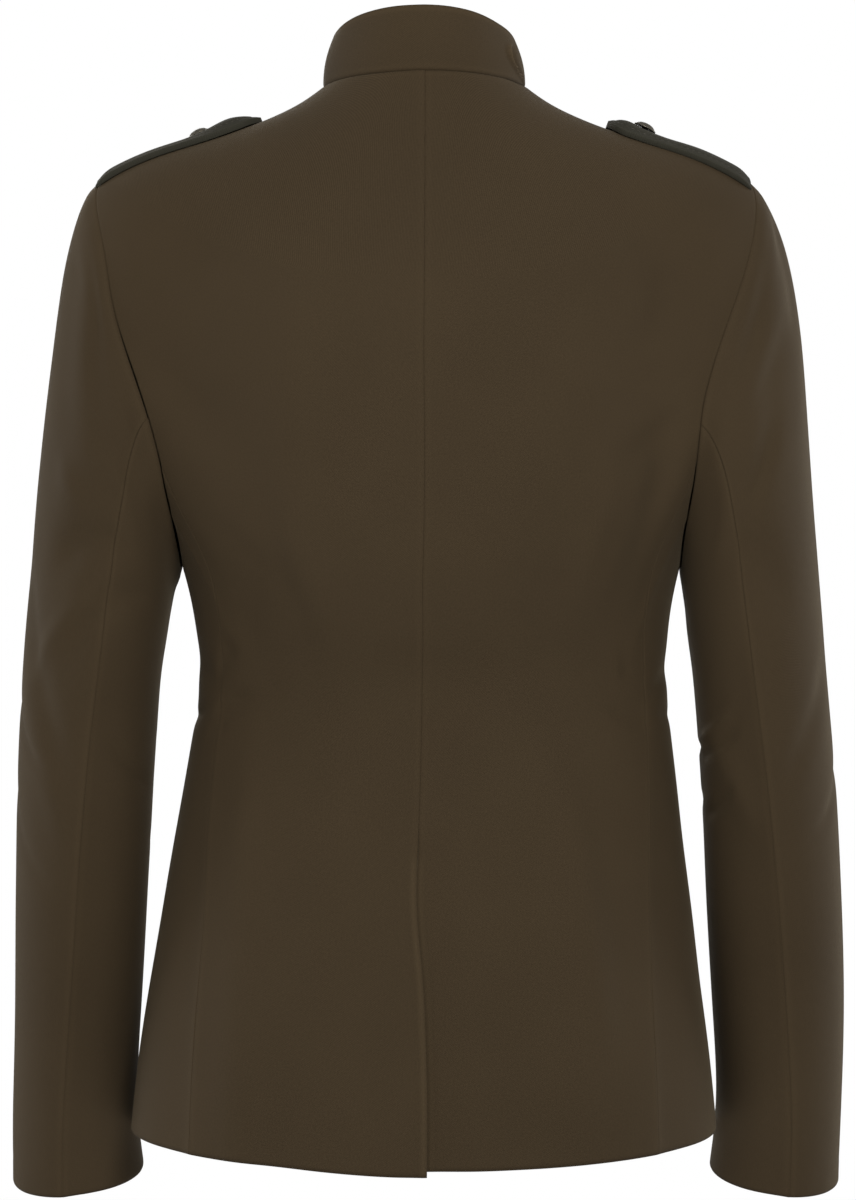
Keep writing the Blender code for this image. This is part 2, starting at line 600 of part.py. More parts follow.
back_panel("back_left", 1)
back_panel("back_right", -1)
side_panel("side_left", 1)
side_panel("side_right", -1)
front_panel("front_left", 1)
front_panel("front_right", -1)
collar()
for word, side in (("left", 1), ("right", -1)):
    sleeve_piece(
        f"sleeve_top_{word}",
        side,
        lambda rings: smooth(FOREARM_SEAM, 1, rings) - 360,
        lambda rings: smooth(HINDARM_SEAM, 1, rings),
        15,
    )
    sleeve_piece(
        f"sleeve_under_{word}",
        side,
        lambda rings: smooth(HINDARM_SEAM, 1, rings),
        lambda rings: smooth(FOREARM_SEAM, 1, rings),
        11,
    )
    epaulette(f"epaulette_{word}", side)
    epaulette_button(f"epaulette_button_{word}", side)
for number, height in enumerate(FRONT_BUTTONS, 1):
    front_button(f"front_button_{number}", height)
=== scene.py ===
# %% [markdown]
# # A fitted blazer with a stand collar, seen from behind
#
# This lesson dresses a plain CAD blazer in its real cloth. The CAD model gives the shape and size. Each cut
# piece of cloth is made again here as a fine shell on the same form, with rolled seams, creases and a
# weave. The front faces -Y, the wearer's left is +X, and Z is up.

# %% Load the frame
import math

import bmesh
import bpy
import numpy as np
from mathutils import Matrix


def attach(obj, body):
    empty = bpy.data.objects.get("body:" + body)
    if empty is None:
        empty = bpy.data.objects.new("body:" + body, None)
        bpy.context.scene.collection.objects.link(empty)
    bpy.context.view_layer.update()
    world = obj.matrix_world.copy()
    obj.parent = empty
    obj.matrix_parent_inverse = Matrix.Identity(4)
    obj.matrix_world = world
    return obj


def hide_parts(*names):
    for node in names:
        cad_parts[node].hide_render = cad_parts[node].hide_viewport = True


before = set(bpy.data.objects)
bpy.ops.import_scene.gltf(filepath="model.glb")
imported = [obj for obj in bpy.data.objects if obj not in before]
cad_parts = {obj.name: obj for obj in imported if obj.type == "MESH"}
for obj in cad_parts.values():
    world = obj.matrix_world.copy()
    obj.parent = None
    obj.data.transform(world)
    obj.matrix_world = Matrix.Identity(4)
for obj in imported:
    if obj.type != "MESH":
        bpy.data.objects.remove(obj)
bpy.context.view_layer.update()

# %% [markdown]
# ## Smooth curves from short tables
#
# A tailor describes a body by a few measures at a few heights. The same is done here: a table has a row for
# each height, and a smooth curve through the rows gives every height between them. Drawing each ring by
# hand would also work, but a table is easier to correct against a photograph.

# %% Curve helpers
MM = 0.001


def curve_slopes(places, values):
    """The slope at each row that gives a curve with no sudden change of bend."""
    step = np.diff(places)
    rise = np.diff(values) / step
    count = len(places)
    matrix = np.zeros((count, count))
    wanted = np.zeros(count)
    matrix[0, :2] = 2, 1
    wanted[0] = 3 * rise[0]
    matrix[-1, -2:] = 1, 2
    wanted[-1] = 3 * rise[-1]
    for row in range(1, count - 1):
        matrix[row, row - 1 : row + 2] = step[row], 2 * (step[row - 1] + step[row]), step[row - 1]
        wanted[row] = 3 * (step[row] * rise[row - 1] + step[row - 1] * rise[row])
    return np.linalg.solve(matrix, wanted)


def smooth(table, column, at):
    """A column's value between the table's rows, on a smooth curve through them."""
    places = table[:, 0]
    values = table[:, column]
    slopes = curve_slopes(places, values)
    at = np.clip(np.asarray(at, float), places[0], places[-1])
    row = np.clip(np.searchsorted(places, at) - 1, 0, len(places) - 2)
    step = places[row + 1] - places[row]
    part = (at - places[row]) / step
    rest = 1 - part
    return (
        values[row] * (1 + 2 * part) * rest**2
        + values[row + 1] * (3 - 2 * part) * part**2
        + step * (slopes[row] * part * rest**2 - slopes[row + 1] * part**2 * rest)
    )


# %% Soft steps and unevenness
def fade(value, start, end):
    """0 at the start, 1 at the end, and a soft curve between them."""
    part = np.clip((value - start) / (end - start), 0, 1)
    return part * part * (3 - 2 * part)


def unit(vectors):
    return vectors / np.maximum(np.linalg.norm(vectors, axis=-1, keepdims=True), 1e-12)


def unevenness(x, y, seed):
    """A soft random height between -1 and 1, the same on every run."""
    column = np.floor(x)
    row = np.floor(y)
    across = fade(x - column, 0, 1)
    up = fade(y - row, 0, 1)

    def corner(i, j):
        mixed = np.sin((column + i) * 127.1 + (row + j) * 311.7 + seed * 74.7) * 43758.5453
        return 2 * (mixed - np.floor(mixed)) - 1

    low = corner(0, 0) * (1 - across) + corner(1, 0) * across
    high = corner(0, 1) * (1 - across) + corner(1, 1) * across
    return low * (1 - up) + high * up


# %% [markdown]
# ## The worn shape
#
# The rings below are the CAD model's own: how wide and deep the blazer is at each height, where the sides
# of a ring stand higher than its back, and how square it is. Degrees run round the body from the centre
# back, so 90 is the side line and 180 the centre front. The cloth could also be wrapped on the CAD faces,
# but they are coarse. Using the same numbers keeps it on the solids and gives a smooth form.

# %% Rings round the body
RINGS = np.array([
    # level, half, side_z, sway, back, back_square, front, front_z, front_square
    [-640, 175.5, -632, -0.3, 113, 0.10, 127, -642, 0.05],
    [-590, 170, -577, 0.0, 110, 0.10, 124, -594, 0.05],
    [-545, 164, -534, 0.3, 105, 0.10, 120, -548, 0.05],
    [-500, 157.5, -490, 1.5, 98, 0.10, 115, -502, 0.04],
    [-455, 151.3, -446, 2.3, 88, 0.10, 109, -456, 0.02],
    [-415, 146, -408, 3.7, 79, 0.09, 104, -415, 0.0],
    [-380, 141, -374, 4.8, 74, 0.08, 101, -378, -0.02],
    [-355, 139.5, -350, 5.0, 73.5, 0.08, 102, -350, -0.05],
    [-342, 141, -320, 4.5, 76, 0.09, 106, -330, -0.08],
    [-330, 148, -286, 4.0, 80, 0.10, 112, -308, -0.12],
    [-300, 181, -213, 2.5, 87.5, 0.10, 124, -272, -0.18],
    [-268, 207, -150, 2.0, 93.5, 0.10, 132, -240, -0.20],
    [-235, 218, -104, 1.5, 97.5, 0.10, 134, -212, -0.20],
    [-200, 211, -76, 0.8, 99, 0.10, 131, -186, -0.18],
    [-160, 193, -56.5, 0.0, 97, 0.08, 122, -160, -0.14],
    [-125, 165, -42.5, 0.0, 93.5, 0.06, 112, -138, -0.10],
    [-90, 135, -33.3, 0.0, 88, 0.05, 101, -116, -0.06],
    [-55, 104, -23, 0.0, 80.5, 0.04, 90, -97, -0.03],
    [-25, 77, -11.5, 0.0, 72, 0.02, 81, -83, 0.0],
    [2, 60, -0.5, 0.0, 62, 0.0, 72, -70, 0.0],
])
HEM = -629.0
NECK = 2.0
SHOULDER_TIP = -160.0
UNDERARM = -330.0
VENT_TOP = -455.0
print(f"{len(RINGS)} rings, from {HEM} mm at the hem to {NECK} mm at the neck")

# %% [markdown]
# ## Folds and creases
#
# Cloth on a figure is never quite smooth. The folds in the first two tables are in the CAD model too. The
# creases in the other two are the cloth's own, and each is listed: a soft trough or ridge between two places,
# bowed to one side and a little uneven along its length. A simulation would give creases as well, but not
# where they belong.

# %% Folds of the solids
FOLDS = [
    # side, degrees, level, degrees, level, bow, width, depth
    (-1, 42, -110, 44, -215, 0, 15, -2.6),
    (-1, 40, -225, 50, -262, 0, 13, -1.8),
    (-1, 29, -235, 36, -330, 0, 13, 1.8),
    (-1, 20, -300, 22, -390, 0, 14, -1.4),
    (1, 38, -150, 34, -250, 0, 26, -2.2),
    (1, 16, -280, 18, -380, 0, 15, 1.4),
    (1, 30, -300, 48, -345, 0, 12, -1.3),
    (-1, 34, -345, 60, -375, 0, 10, -1.5),
    (1, 36, -352, 62, -380, 0, 10, -1.5),
    (-1, 14, -420, 13, -560, 0, 16, -1.8),
    (-1, 27, -450, 27, -590, 0, 16, 1.8),
    (1, 28, -440, 27, -580, 0, 18, 1.5),
    (-1, 150, -250, 138, -350, 0, 16, -2.0),
    (1, 149, -240, 137, -345, 0, 15, -1.8),
    (1, 160, -360, 130, -378, 0, 9, -1.6),
    (-1, 162, -352, 132, -372, 0, 9, -1.6),
    (-1, 150, -430, 148, -590, 0, 18, 1.8),
    (1, 146, -440, 145, -600, 0, 17, 1.6),
]
SLEEVE_FOLDS = [
    # side, degrees round the sleeve, ring, degrees, ring, bow, width, depth
    (1, 20, 7.2, 75, 9.4, 0, 9, -2.0),
    (1, 30, 8.4, 85, 10.6, 0, 9, 1.6),
    (-1, 25, 8.4, 80, 9.6, 0, 9, -1.8),
    (-1, 150, 8.6, 110, 10.2, 0, 9, 1.6),
    (1, 40, 1.6, 50, 4.5, 0, 12, -1.6),
    (-1, 40, 1.6, 52, 4.5, 0, 12, -1.6),
    (1, 300, 9.0, 230, 9.6, 0, 10, -2.2),
    (-1, 300, 9.3, 232, 9.2, 0, 10, -2.2),
]

# %% Creases of the body
BODY_CREASES = [
    # side, degrees, level, degrees, level, bow, width, depth
    (-1, 48, -122, 37, -196, 6, 15, -3.8),  # the hollow beside the right shoulder blade
    (-1, 37, -190, 33, -262, 0, 17, -3.0),
    (-1, 22, -185, 29, -310, 0, 8, 3.4),  # the ridge that runs down from it
    (-1, 33, -210, 42, -300, 0, 11, -4.4),
    (1, 44, -130, 38, -250, 0, 24, -6.0),  # the wide hollow on the left, with a ridge beside it
    (1, 40, -240, 42, -310, 0, 20, -1.8),
    (1, 24, -120, 23, -330, -9, 9, 2.4),
    (1, 10, -495, 10, -640, 0, 14, -2.4),  # soft flutes below the waist
    (1, 44, -410, 35, -630, 0, 14, 2.6),
    (1, 20, -400, 20, -520, 0, 12, 1.4),
    (-1, 3, -462, 3, -640, 0, 16, -3.2),  # the right back rises from beneath the flap
    (-1, 17, -330, 24, -420, 3, 11, 2.0),
    (-1, 28, -400, 35, -560, 3, 12, 3.2),
    (-1, 17, -440, 16, -620, 0, 12, -1.8),
    (1, 52, -345, 63, -354, 2, 4, -1.3),  # short folds at the waist
    (1, 48, -362, 64, -374, 2, 4.5, -1.2),
    (1, 57, -384, 66, -392, 2, 4, -0.8),
    (-1, 50, -350, 63, -356, -2, 4, -1.3),
    (-1, 46, -372, 62, -384, -2, 5, -1.1),
    (1, 62, -358, 96, -350, 3, 5, -1.2),
    (-1, 62, -362, 100, -352, 3, 5, -1.2),
    (1, 70, -374, 110, -380, -3, 6, -1.0),
    (-1, 70, -378, 108, -374, -3, 6, -1.0),
    (1, 62, -300, 54, -345, 3, 6, 0.5),
    (-1, 62, -300, 54, -345, 3, 6, 0.5),
    (1, 115, -320, 140, -268, 5, 7, -1.4),  # the same on the fronts, which the photograph hides
    (-1, 115, -322, 141, -262, 5, 7, -1.4),
    (1, 118, -350, 150, -340, -3, 6, -1.2),
    (-1, 118, -352, 148, -338, -3, 6, -1.2),
    (1, 172, -300, 150, -322, 3, 6, -1.1),
    (-1, 172, -228, 148, -252, 3, 6, -1.1),
    (1, 135, -430, 138, -620, 3, 14, 1.4),
    (-1, 158, -420, 160, -620, 0, 14, -1.4),
]

# %% Creases of the sleeves
SLEEVE_CREASES = [
    # side, degrees round the sleeve, ring, degrees, ring, bow, width, depth
    (1, 118, 4.5, 62, 6.6, 3, 8, -3.4),  # drag lines from the left underarm
    (1, 98, 3.4, 60, 5.4, 3, 9, 2.6),
    (1, 134, 5.0, 78, 7.9, 2, 7, -2.6),
    (1, 104, 6.4, 45, 8.4, 3, 6, 2.2),
    (1, 350, 8.4, 60, 9.6, 5, 4.5, -1.1),  # folds at the elbow
    (1, 0, 9.8, 70, 11.2, 4, 5, -1.0),
    (1, 120, 8.9, 165, 9.4, 3, 4, -1.2),
    (1, 195, 8.6, 235, 9.0, -3, 4, -0.7),
    (1, 195, 9.5, 240, 9.8, 3, 4.5, -0.8),
    (1, 190, 10.3, 240, 10.2, -3, 4, -1.1),
    (-1, 128, 8.2, 172, 8.6, 2, 3.5, 1.6),
    (-1, 122, 8.6, 170, 8.9, 2, 4, -1.5),
    (-1, 130, 9.5, 165, 9.9, 3, 4, -1.0),
    (-1, 175, 8.7, 220, 9.2, -3, 4, -1.4),
    (-1, 180, 9.7, 236, 9.6, 3, 4.5, -1.5),
    (-1, 345, 9.2, 50, 10.4, 5, 5, -1.0),
    (-1, 112, 4.6, 70, 7.2, 3, 9, -2.2),
    (-1, 104, 0.9, 112, 4.0, 3, 9, 2.0),
    (1, 62, 0.7, 74, 3.0, -4, 9, -2.4),  # hollows and fullness of the sleeve head
    (-1, 64, 0.9, 66, 3.2, -4, 10, -2.6),
    (-1, 25, 1.2, 30, 3.4, 0, 10, -2.0),
    (-1, 60, 2.8, 84, 4.6, 3, 12, -2.6),
    (1, 100, 1.2, 104, 3.6, 4, 9, 1.7),
    (1, 330, 2.0, 320, 5.0, 4, 8, -1.1),
    (-1, 330, 2.0, 320, 5.0, 4, 8, -1.1),
    (1, 150, 14.6, 200, 15.0, 2, 7, 1.0),
    (-1, 150, 14.6, 200, 15.0, 2, 7, 1.0),
]
BODY_SIZE = (2.3, 1.0)  # mm for each degree round, and for each step of level
SLEEVE_SIZE = (0.8, 38.0)  # mm for each degree round, and for each ring
print(len(FOLDS) + len(SLEEVE_FOLDS), "folds and", len(BODY_CREASES) + len(SLEEVE_CREASES), "creases")


# %% Height of the folds
def fold_height(folds, side, degrees, level, size, rough=0.0):
    """How far the folds of one side move a point out."""
    height = 0
    for number, (fold_side, degrees_a, level_a, degrees_b, level_b, bow, width, depth) in enumerate(folds):
        if fold_side != side:
            continue
        start = np.array([degrees_a * size[0], level_a * size[1]])
        run = np.array([degrees_b * size[0], level_b * size[1]]) - start
        if run[0] < -180 * size[0]:
            run[0] += 360 * size[0]
        away_x = degrees * size[0] - start[0]
        if size is SLEEVE_SIZE:
            away_x = (away_x + 180 * size[0]) % (360 * size[0]) - 180 * size[0]
        away_y = level * size[1] - start[1]
        length = np.hypot(*run)
        along = (away_x * run[0] + away_y * run[1]) / length**2
        across = (away_x * run[1] - away_y * run[0]) / length
        across = across + bow * (1 - (2 * along - 1) ** 2)
        ends = np.exp(-np.maximum(0, np.abs(along - 0.5) - 0.3) ** 2 / 0.06)
        uneven = 1 + rough * unevenness(along * 3.1, along * 0, number)
        height = height + depth * ends * uneven * np.exp(-((across / width) ** 2))
    return height


# %% [markdown]
# ## From the rings to a surface
#
# The worn cloth is one surface, whatever pieces it is cut into. A function gives the point at any degree
# and level, with its folds, so that two pieces which ask for the same place along a seam get the same
# point.

# %% Body surface
def body(degrees, level, side=1):
    """A point of the worn cloth's outer face, in mm."""
    degrees = np.asarray(degrees, float)
    half, side_z, sway, back, back_square, front, front_z, front_square = (
        smooth(RINGS, column, level) for column in range(1, 9)
    )
    sine = np.sin(np.radians(degrees))
    cosine = np.cos(np.radians(degrees))
    behind = cosine > 0
    square = np.where(behind, back_square, front_square)
    depth = np.where(behind, back, front)
    end_z = np.where(behind, level, front_z)
    bump = fold_height(FOLDS, side, degrees, level, BODY_SIZE)
    x = side * (half * sine * (1 + square * cosine**2) + bump * sine) - sway
    y = depth * cosine * (1 + square * sine**2) + bump * cosine
    bend = np.where(behind, 2.0, 2.0 - 0.6 * fade(level, -100, NECK))
    share = np.abs(cosine) ** bend
    z = side_z * (1 - share) + end_z * share
    return np.stack(np.broadcast_arrays(x, y, z), axis=-1)


def body_facing(degrees, level, side):
    """The outward normal of the worn cloth."""
    up = body(degrees, level + 1.0, side) - body(degrees, level - 1.0, side)
    ahead = body(degrees + 0.5, level, side) - body(degrees - 0.5, level, side)
    return side * unit(np.cross(up, ahead))


back_middle = body(0, np.array([HEM, NECK]))
print(f"centre back: {np.linalg.norm(back_middle[1] - back_middle[0]):.0f} mm from hem to neck")

# %% Armhole
# How far the armhole reaches from the side line, in degrees, at places round it.
ARMHOLE_BACK = np.array([
    # place, left, right
    [0, 25, 24.5], [20, 28, 25.5], [40, 34, 29.5], [60, 36, 35.5], [75, 37.3, 41],
    [90, 40, 43.5], [105, 43, 44.8], [120, 45.4, 45.4], [150, 46.3, 46.7], [180, 47.5, 48.5],
])
ARMHOLE_FRONT = 33.5
ARMHOLE_FRONT_LEAN = 5.0


def armhole(around, side):
    """A place's degrees and level. 0 is the shoulder tip, 90 the back and 180 the underarm."""
    turn = np.radians(np.asarray(around, float))
    level = UNDERARM + (SHOULDER_TIP - UNDERARM) * (1 + np.cos(turn)) / 2
    back_reach = smooth(ARMHOLE_BACK, 1 if side > 0 else 2, np.degrees(np.arccos(np.cos(turn))))
    front_reach = ARMHOLE_FRONT - ARMHOLE_FRONT_LEAN * np.cos(turn)
    reach = np.where(np.sin(turn) > 0, back_reach, front_reach)
    return 90 - reach * np.sin(turn), level


# %% [markdown]
# ## The sleeve's shape
#
# A sleeve begins on the armhole's own curve and becomes a plain oval tube by the elbow. It hangs forward
# below the elbow, as arms do. Seventeen rings describe it from the shoulder to the cuff. A tube along a
# bent line would be simpler, but its end wouldn't fit the armhole.

# %% Sleeve surface
SLEEVE_NAMES = "outer_x outer_right outer_z inner_x inner_z back front drop cap".split()
SLEEVE = np.array([
    # outer_x, outer_right, outer_z, inner_x, inner_z, back, front, drop, cap
    [193, 193, -56.5, 148, -286, 62, -58, 0, 1.0],
    [202, 202.5, -68, 149.3, -290, 64, -60, 0, 0.85],
    [209.5, 212.5, -90, 150.3, -295, 65.5, -61, 0, 0.66],
    [215.5, 220, -121, 151.4, -301, 66.5, -61, 0, 0.47],
    [220.5, 224.8, -160, 152.6, -309, 67, -60, 0, 0.30],
    [225.2, 227.6, -198, 154, -319, 66.5, -59, 0, 0.16],
    [229.6, 230.4, -240, 156, -333, 65.5, -57.5, 0, 0.06],
    [233.2, 233.2, -281, 158, -349, 64, -56, 0, 0.01],
    [237.2, 237, -325, 160.2, -372, 60.5, -54.5, 1, 0],
    [240.4, 241, -370, 162.4, -400, 56, -55, 2, 0],
    [242.6, 245, -415, 164.6, -434, 49, -58, 3.5, 0],
    [244.2, 248.4, -460, 167, -472, 40.5, -62.5, 5, 0],
    [245.6, 251, -506, 169.6, -513, 31, -68, 6, 0],
    [247, 252.4, -552, 172.5, -554, 20.5, -74.5, 7, 0],
    [248.4, 252.6, -596, 175.3, -594, 10, -81, 8, 0],
    [249.8, 252, -630, 174.8, -625, 2.5, -86.5, 8, 0],
    [250.5, 251.5, -657, 172, -650, -2, -90, 8, 0],
])
SLEEVE_SWAY = 1.5
LAST_RING = 16.0


def sleeve(around, ring, side=1):
    """A point of the sleeve's outer face, in mm. 0 is the outer edge, 90 the back, 180 the inner edge."""
    around = np.asarray(around, float)
    rows = np.column_stack([np.arange(len(SLEEVE)), SLEEVE])
    outer_x, outer_right, outer_z, inner_x, inner_z, back, front, drop, cap = (
        smooth(rows, column, ring) for column in range(1, 10)
    )
    outer_x = outer_x if side > 0 else outer_right
    first = dict(zip(SLEEVE_NAMES, SLEEVE[0]))
    cosine = np.cos(np.radians(around))
    sine = np.sin(np.radians(around))
    edge = body(*armhole(around, side), side)
    base_x = (first["outer_x"] * (1 + cosine) + first["inner_x"] * (1 - cosine)) / 2
    base_y = (first["back"] * (1 + sine) + first["front"] * (1 - sine)) / 2
    base_z = (first["outer_z"] * (1 + cosine) + first["inner_z"] * (1 - cosine)) / 2
    bump = fold_height(SLEEVE_FOLDS, side, around, ring, SLEEVE_SIZE) * fade(ring, 0.5, 2.0)
    x = (outer_x * (1 + cosine) + inner_x * (1 - cosine)) / 2 + cap * (side * edge[..., 0] - base_x)
    y = (back * (1 + sine) + front * (1 - sine)) / 2 + cap * (edge[..., 1] - base_y)
    z = (outer_z * (1 + cosine) + inner_z * (1 - cosine)) / 2 + cap * (edge[..., 2] - base_z)
    sway = SLEEVE_SWAY * (1 - cap) * (1 - cosine) / 2
    return np.stack([side * (x + bump * cosine) - sway, y + bump * sine, z - drop * sine], axis=-1)


print(f"{len(SLEEVE)} sleeve rings, down to {SLEEVE[-1, 2]:.0f} mm at the cuff")

# %% [markdown]
# ## Where the seams run
#
# The seams are lines on the worn form, so each is a table of degrees at each level. A panel's cut edge is
# one or more of these lines, joined end to end. Cutting one finished shell along them would also work, but
# then no panel's grid would follow its own edges.

# %% Seam lines
CENTRE_SEAM = np.array([
    # level, degrees
    [-640, -0.5], [-560, -0.3], [-520, 0.6], [-485, 1.95], [-455, 2.2], [-400, 2.3], [-355, 2.4],
    [-325, 1.6], [-268, 0.6], [-160, 0.1], [2, -0.3],
])
SIDE_BACK_SEAM = np.array([
    # level, degrees
    [-640, 47.5], [-560, 50], [-500, 52.5], [-455, 55.5], [-415, 58.5], [-380, 61], [-355, 61], [-340, 58.5],
    [-325, 54.5], [-305, 51.8], [-287.5, 50.68],
])
SIDE_FRONT_SEAM = np.array([
    # level, degrees
    [-640, 122], [-560, 121], [-500, 119], [-450, 116], [-400, 113.5], [-355, 114], [-340, 115.5],
    [-320, 116.8], [-305.1, 116.2],
])
# These two run down the sleeve: ring, and degrees round the sleeve.
HINDARM_SEAM = np.array([[0, 105], [4, 105], [8, 102], [10, 96], [12, 91], [14, 86], [16, 82]])
FOREARM_SEAM = np.array([[0, 255], [4, 250], [8, 246], [12, 244], [16, 243]])
SIDE_BACK_AT = 120.0  # where the side seams reach the armhole
SIDE_FRONT_AT = 225.0
FINE = 300  # points on each line


# %% Edge lines
def seam_run(table, side=1):
    """A seam's degrees and levels, from the hem up."""
    levels = np.linspace(HEM, min(table[-1, 0], NECK), FINE)
    return np.column_stack([side * smooth(table, 1, levels), levels])


def armhole_run(start, end, side):
    """A part of the armhole, between two places round it."""
    return np.column_stack(armhole(np.linspace(start, end, FINE), side))


def straight_run(degrees, start, end):
    """A line that stays at the same degrees, such as the shoulder seam."""
    levels = np.linspace(start, end, FINE)
    return np.column_stack([np.full(FINE, degrees), levels])


def front_edge_run(reach):
    """A straight edge from hem to neck, some mm past the centre front."""
    levels = np.linspace(HEM, NECK, FINE)
    width = smooth(RINGS, 1, levels) * (1 + smooth(RINGS, 8, levels))
    return np.column_stack([180 + np.degrees(np.arcsin(reach / width)), levels])


# %% [markdown]
# ## Laying an even grid on a panel
#
# A woven cloth is an even grid of threads, so an even grid of small squares suits it. Each edge is measured
# in millimetres along the form and divided evenly, with closer lines beside the seams, where the cloth
# rolls over. Triangles of any shape would fill a panel more simply, but a crease then looks jagged.

# %% Even grid lines
STEP = 2.9  # mm between grid lines
NEAR_EDGE = np.array([0, 0.9, 1.8, 2.8, 4.0])  # closer lines beside each edge, in mm
TRIAL = 25  # lines across a panel when its width is measured


def shares(lengths, step=STEP):
    """Grid lines as shares of each length, with the same count for all, in a row for each length."""
    lengths = np.atleast_1d(np.asarray(lengths, float))
    count = max(3, round((lengths.max() - 2 * NEAR_EDGE[-1]) / step))
    middle = np.linspace(0, 1, count + 1)[1:-1]
    near = NEAR_EDGE / lengths[:, None]
    inside = near[:, -1:] + (1 - 2 * near[:, -1:]) * middle
    return np.concatenate([near, inside, 1 - near[:, ::-1]], axis=1)


def run_length(points):
    """How far each point of a line is from its start, along the line."""
    return np.append(0, np.cumsum(np.linalg.norm(np.diff(points, axis=0), axis=1)))


def row_lengths(points):
    return np.linalg.norm(np.diff(points, axis=1), axis=-1).sum(axis=1)


def divided(run, side, parts):
    """Places on a line of degrees and levels, at these shares of its real length."""
    lengths = run_length(body(run[:, 0], run[:, 1], side))
    at = parts * lengths[-1]
    return np.interp(at, lengths, run[:, 0]), np.interp(at, lengths, run[:, 1])


def between(near, far, parts):
    """Degrees and levels at shares of the way from the near edge to the far one."""
    degrees = near[0][:, None] + (far[0] - near[0])[:, None] * parts
    levels = near[1][:, None] + (far[1] - near[1])[:, None] * parts
    return degrees, levels


# %% Panel grid
def panel_grid(near_run, far_run, side):
    """An even grid's degrees and levels, the shares across it, and its near edge."""
    real = [run_length(body(run[:, 0], run[:, 1], side))[-1] for run in (near_run, far_run)]
    up = shares(sum(real) / 2)[0]
    near = divided(near_run, side, up)
    far = divided(far_run, side, up)
    widths = row_lengths(body(*between(near, far, np.linspace(0, 1, TRIAL)), side))
    parts = shares(widths)
    degrees, levels = between(near, far, parts)
    return degrees, levels, parts, near


# %% Grid measures
def distances(points):
    """How far each grid point is from the grid's left, right, bottom and top edges, in mm."""
    across = np.linalg.norm(np.diff(points, axis=1), axis=-1)
    left = np.concatenate([np.zeros((len(points), 1)), np.cumsum(across, axis=1)], axis=1)
    up = np.linalg.norm(np.diff(points, axis=0), axis=-1)
    bottom = np.concatenate([np.zeros((1, points.shape[1])), np.cumsum(up, axis=0)], axis=0)
    return {"left": left, "right": left[:, -1:] - left, "bottom": bottom, "top": bottom[-1:] - bottom}


SHIFT_REACH = 1.5  # mm over which a shift dies away


def edge_shift(points, away, pull):
    """Moves the points beside some edges inwards, by the mm that pull gives for each edge's name."""
    across = unit(np.gradient(points, axis=1))
    up = unit(np.gradient(points, axis=0))
    inwards = {"left": across, "right": -across, "bottom": up, "top": -up}
    for edge, amount in pull.items():
        points = points + (amount * np.exp(-away[edge] / SHIFT_REACH))[..., None] * inwards[edge]
    return points


def grid_facing(points, side):
    """The outward normals of a grid whose rows go up and whose columns go round from the back."""
    across = np.gradient(points, axis=1)
    up = np.gradient(points, axis=0)
    return side * unit(np.cross(up, across))


# %% [markdown]
# ## Making one piece of cloth
#
# A bmesh grid gives the squares and an extrusion gives the cloth its 2 mm of thickness, so the piece is
# closed all round like the real one. The outer layer then rolls down into each seam, with the small puckers
# that a sewing machine leaves, and the inner layer becomes the lining. A Solidify modifier would also give
# the thickness, but not an inner layer that goes its own way at the seams.

# %% Seam roll
WALL = 2.0  # mm, as are the next five
LAYER_GAP = 0.4
SEAM_GAP = 0.3
HALF_GAP = 0.06  # sewn edges all but touch
ALLOWANCE = 0.7  # the inner layer goes this far past a seam, as a seam allowance does, and closes it
SHOULDER_ALLOWANCE = 1.2
ROLL = {"width": 2.4, "depth": 0.5}
PUCKER = {"length": 7.0, "reach": 7.0, "height": 0.16}


def seam_roll(away, seams, seed):
    """How far the cloth sinks beside its seams, which are given as each edge's name and its strength."""
    sink = 0
    for number, (edge, amount) in enumerate(seams.items()):
        distance = away[edge]
        along = away["bottom"] if edge in ("left", "right") else away["left"]
        rolled = np.clip(1 - distance / ROLL["width"], 0, 1) ** 2
        wave = unevenness(along / PUCKER["length"], distance / 30, seed + 3 * number)
        pucker = wave * np.exp(-distance / PUCKER["reach"]) * fade(distance, -1, 2.5)
        sink = sink + amount * (ROLL["depth"] * rolled + PUCKER["height"] * pucker)
    return sink


def paint_edge_light_and_shade(away, seams, turned=None):
    """Painted edge light and shade: a pressed seam edge is painted a little lighter, as sheen, and an edge
    that is turned under is painted darker, as shade.
    """
    painted_light_and_shade = sum(amount * np.exp(-((away[edge] - 2.2) / 1.4) ** 2) for edge, amount in seams.items())
    return painted_light_and_shade if turned is None else painted_light_and_shade - 1.6 * np.exp(-((away[turned] / 1.5) ** 2))


# %% Cloth shell
def cloth_shell(outer, inner, spare):
    """Two layers of squares, closed all round. Each vertex keeps its place in the grids."""
    rows, columns = outer.shape[:2]
    bm = bmesh.new()
    bmesh.ops.create_grid(bm, x_segments=columns - 1, y_segments=rows - 1, size=0.5)
    place = bm.verts.layers.int.new("place")
    for vertex in bm.verts:
        column = round((vertex.co.x + 0.5) * (columns - 1))
        row = round((vertex.co.y + 0.5) * (rows - 1))
        vertex[place] = row * columns + column
    if spare is not None:
        corners = {face: min(vertex[place] for vertex in face.verts) for face in bm.faces}
        gone = [face for face, at in corners.items() if spare[at // columns, at % columns]]
        bmesh.ops.delete(bm, geom=gone, context="FACES")
    made = bmesh.ops.extrude_face_region(bm, geom=bm.faces[:], use_keep_orig=True)
    layer_size = rows * columns
    for item in made["geom"]:
        if isinstance(item, bmesh.types.BMVert):
            item[place] += layer_size
    points = np.concatenate([outer.reshape(-1, 3), inner.reshape(-1, 3)]) * MM
    for vertex in bm.verts:
        vertex.co = points[vertex[place]]
    for face in bm.faces:
        face.material_index = int(all(vertex[place] >= layer_size for vertex in face.verts))
    bmesh.ops.recalc_face_normals(bm, faces=bm.faces)
    if bm.calc_volume(signed=True) < 0:
        bmesh.ops.reverse_faces(bm, faces=bm.faces)
    return bm


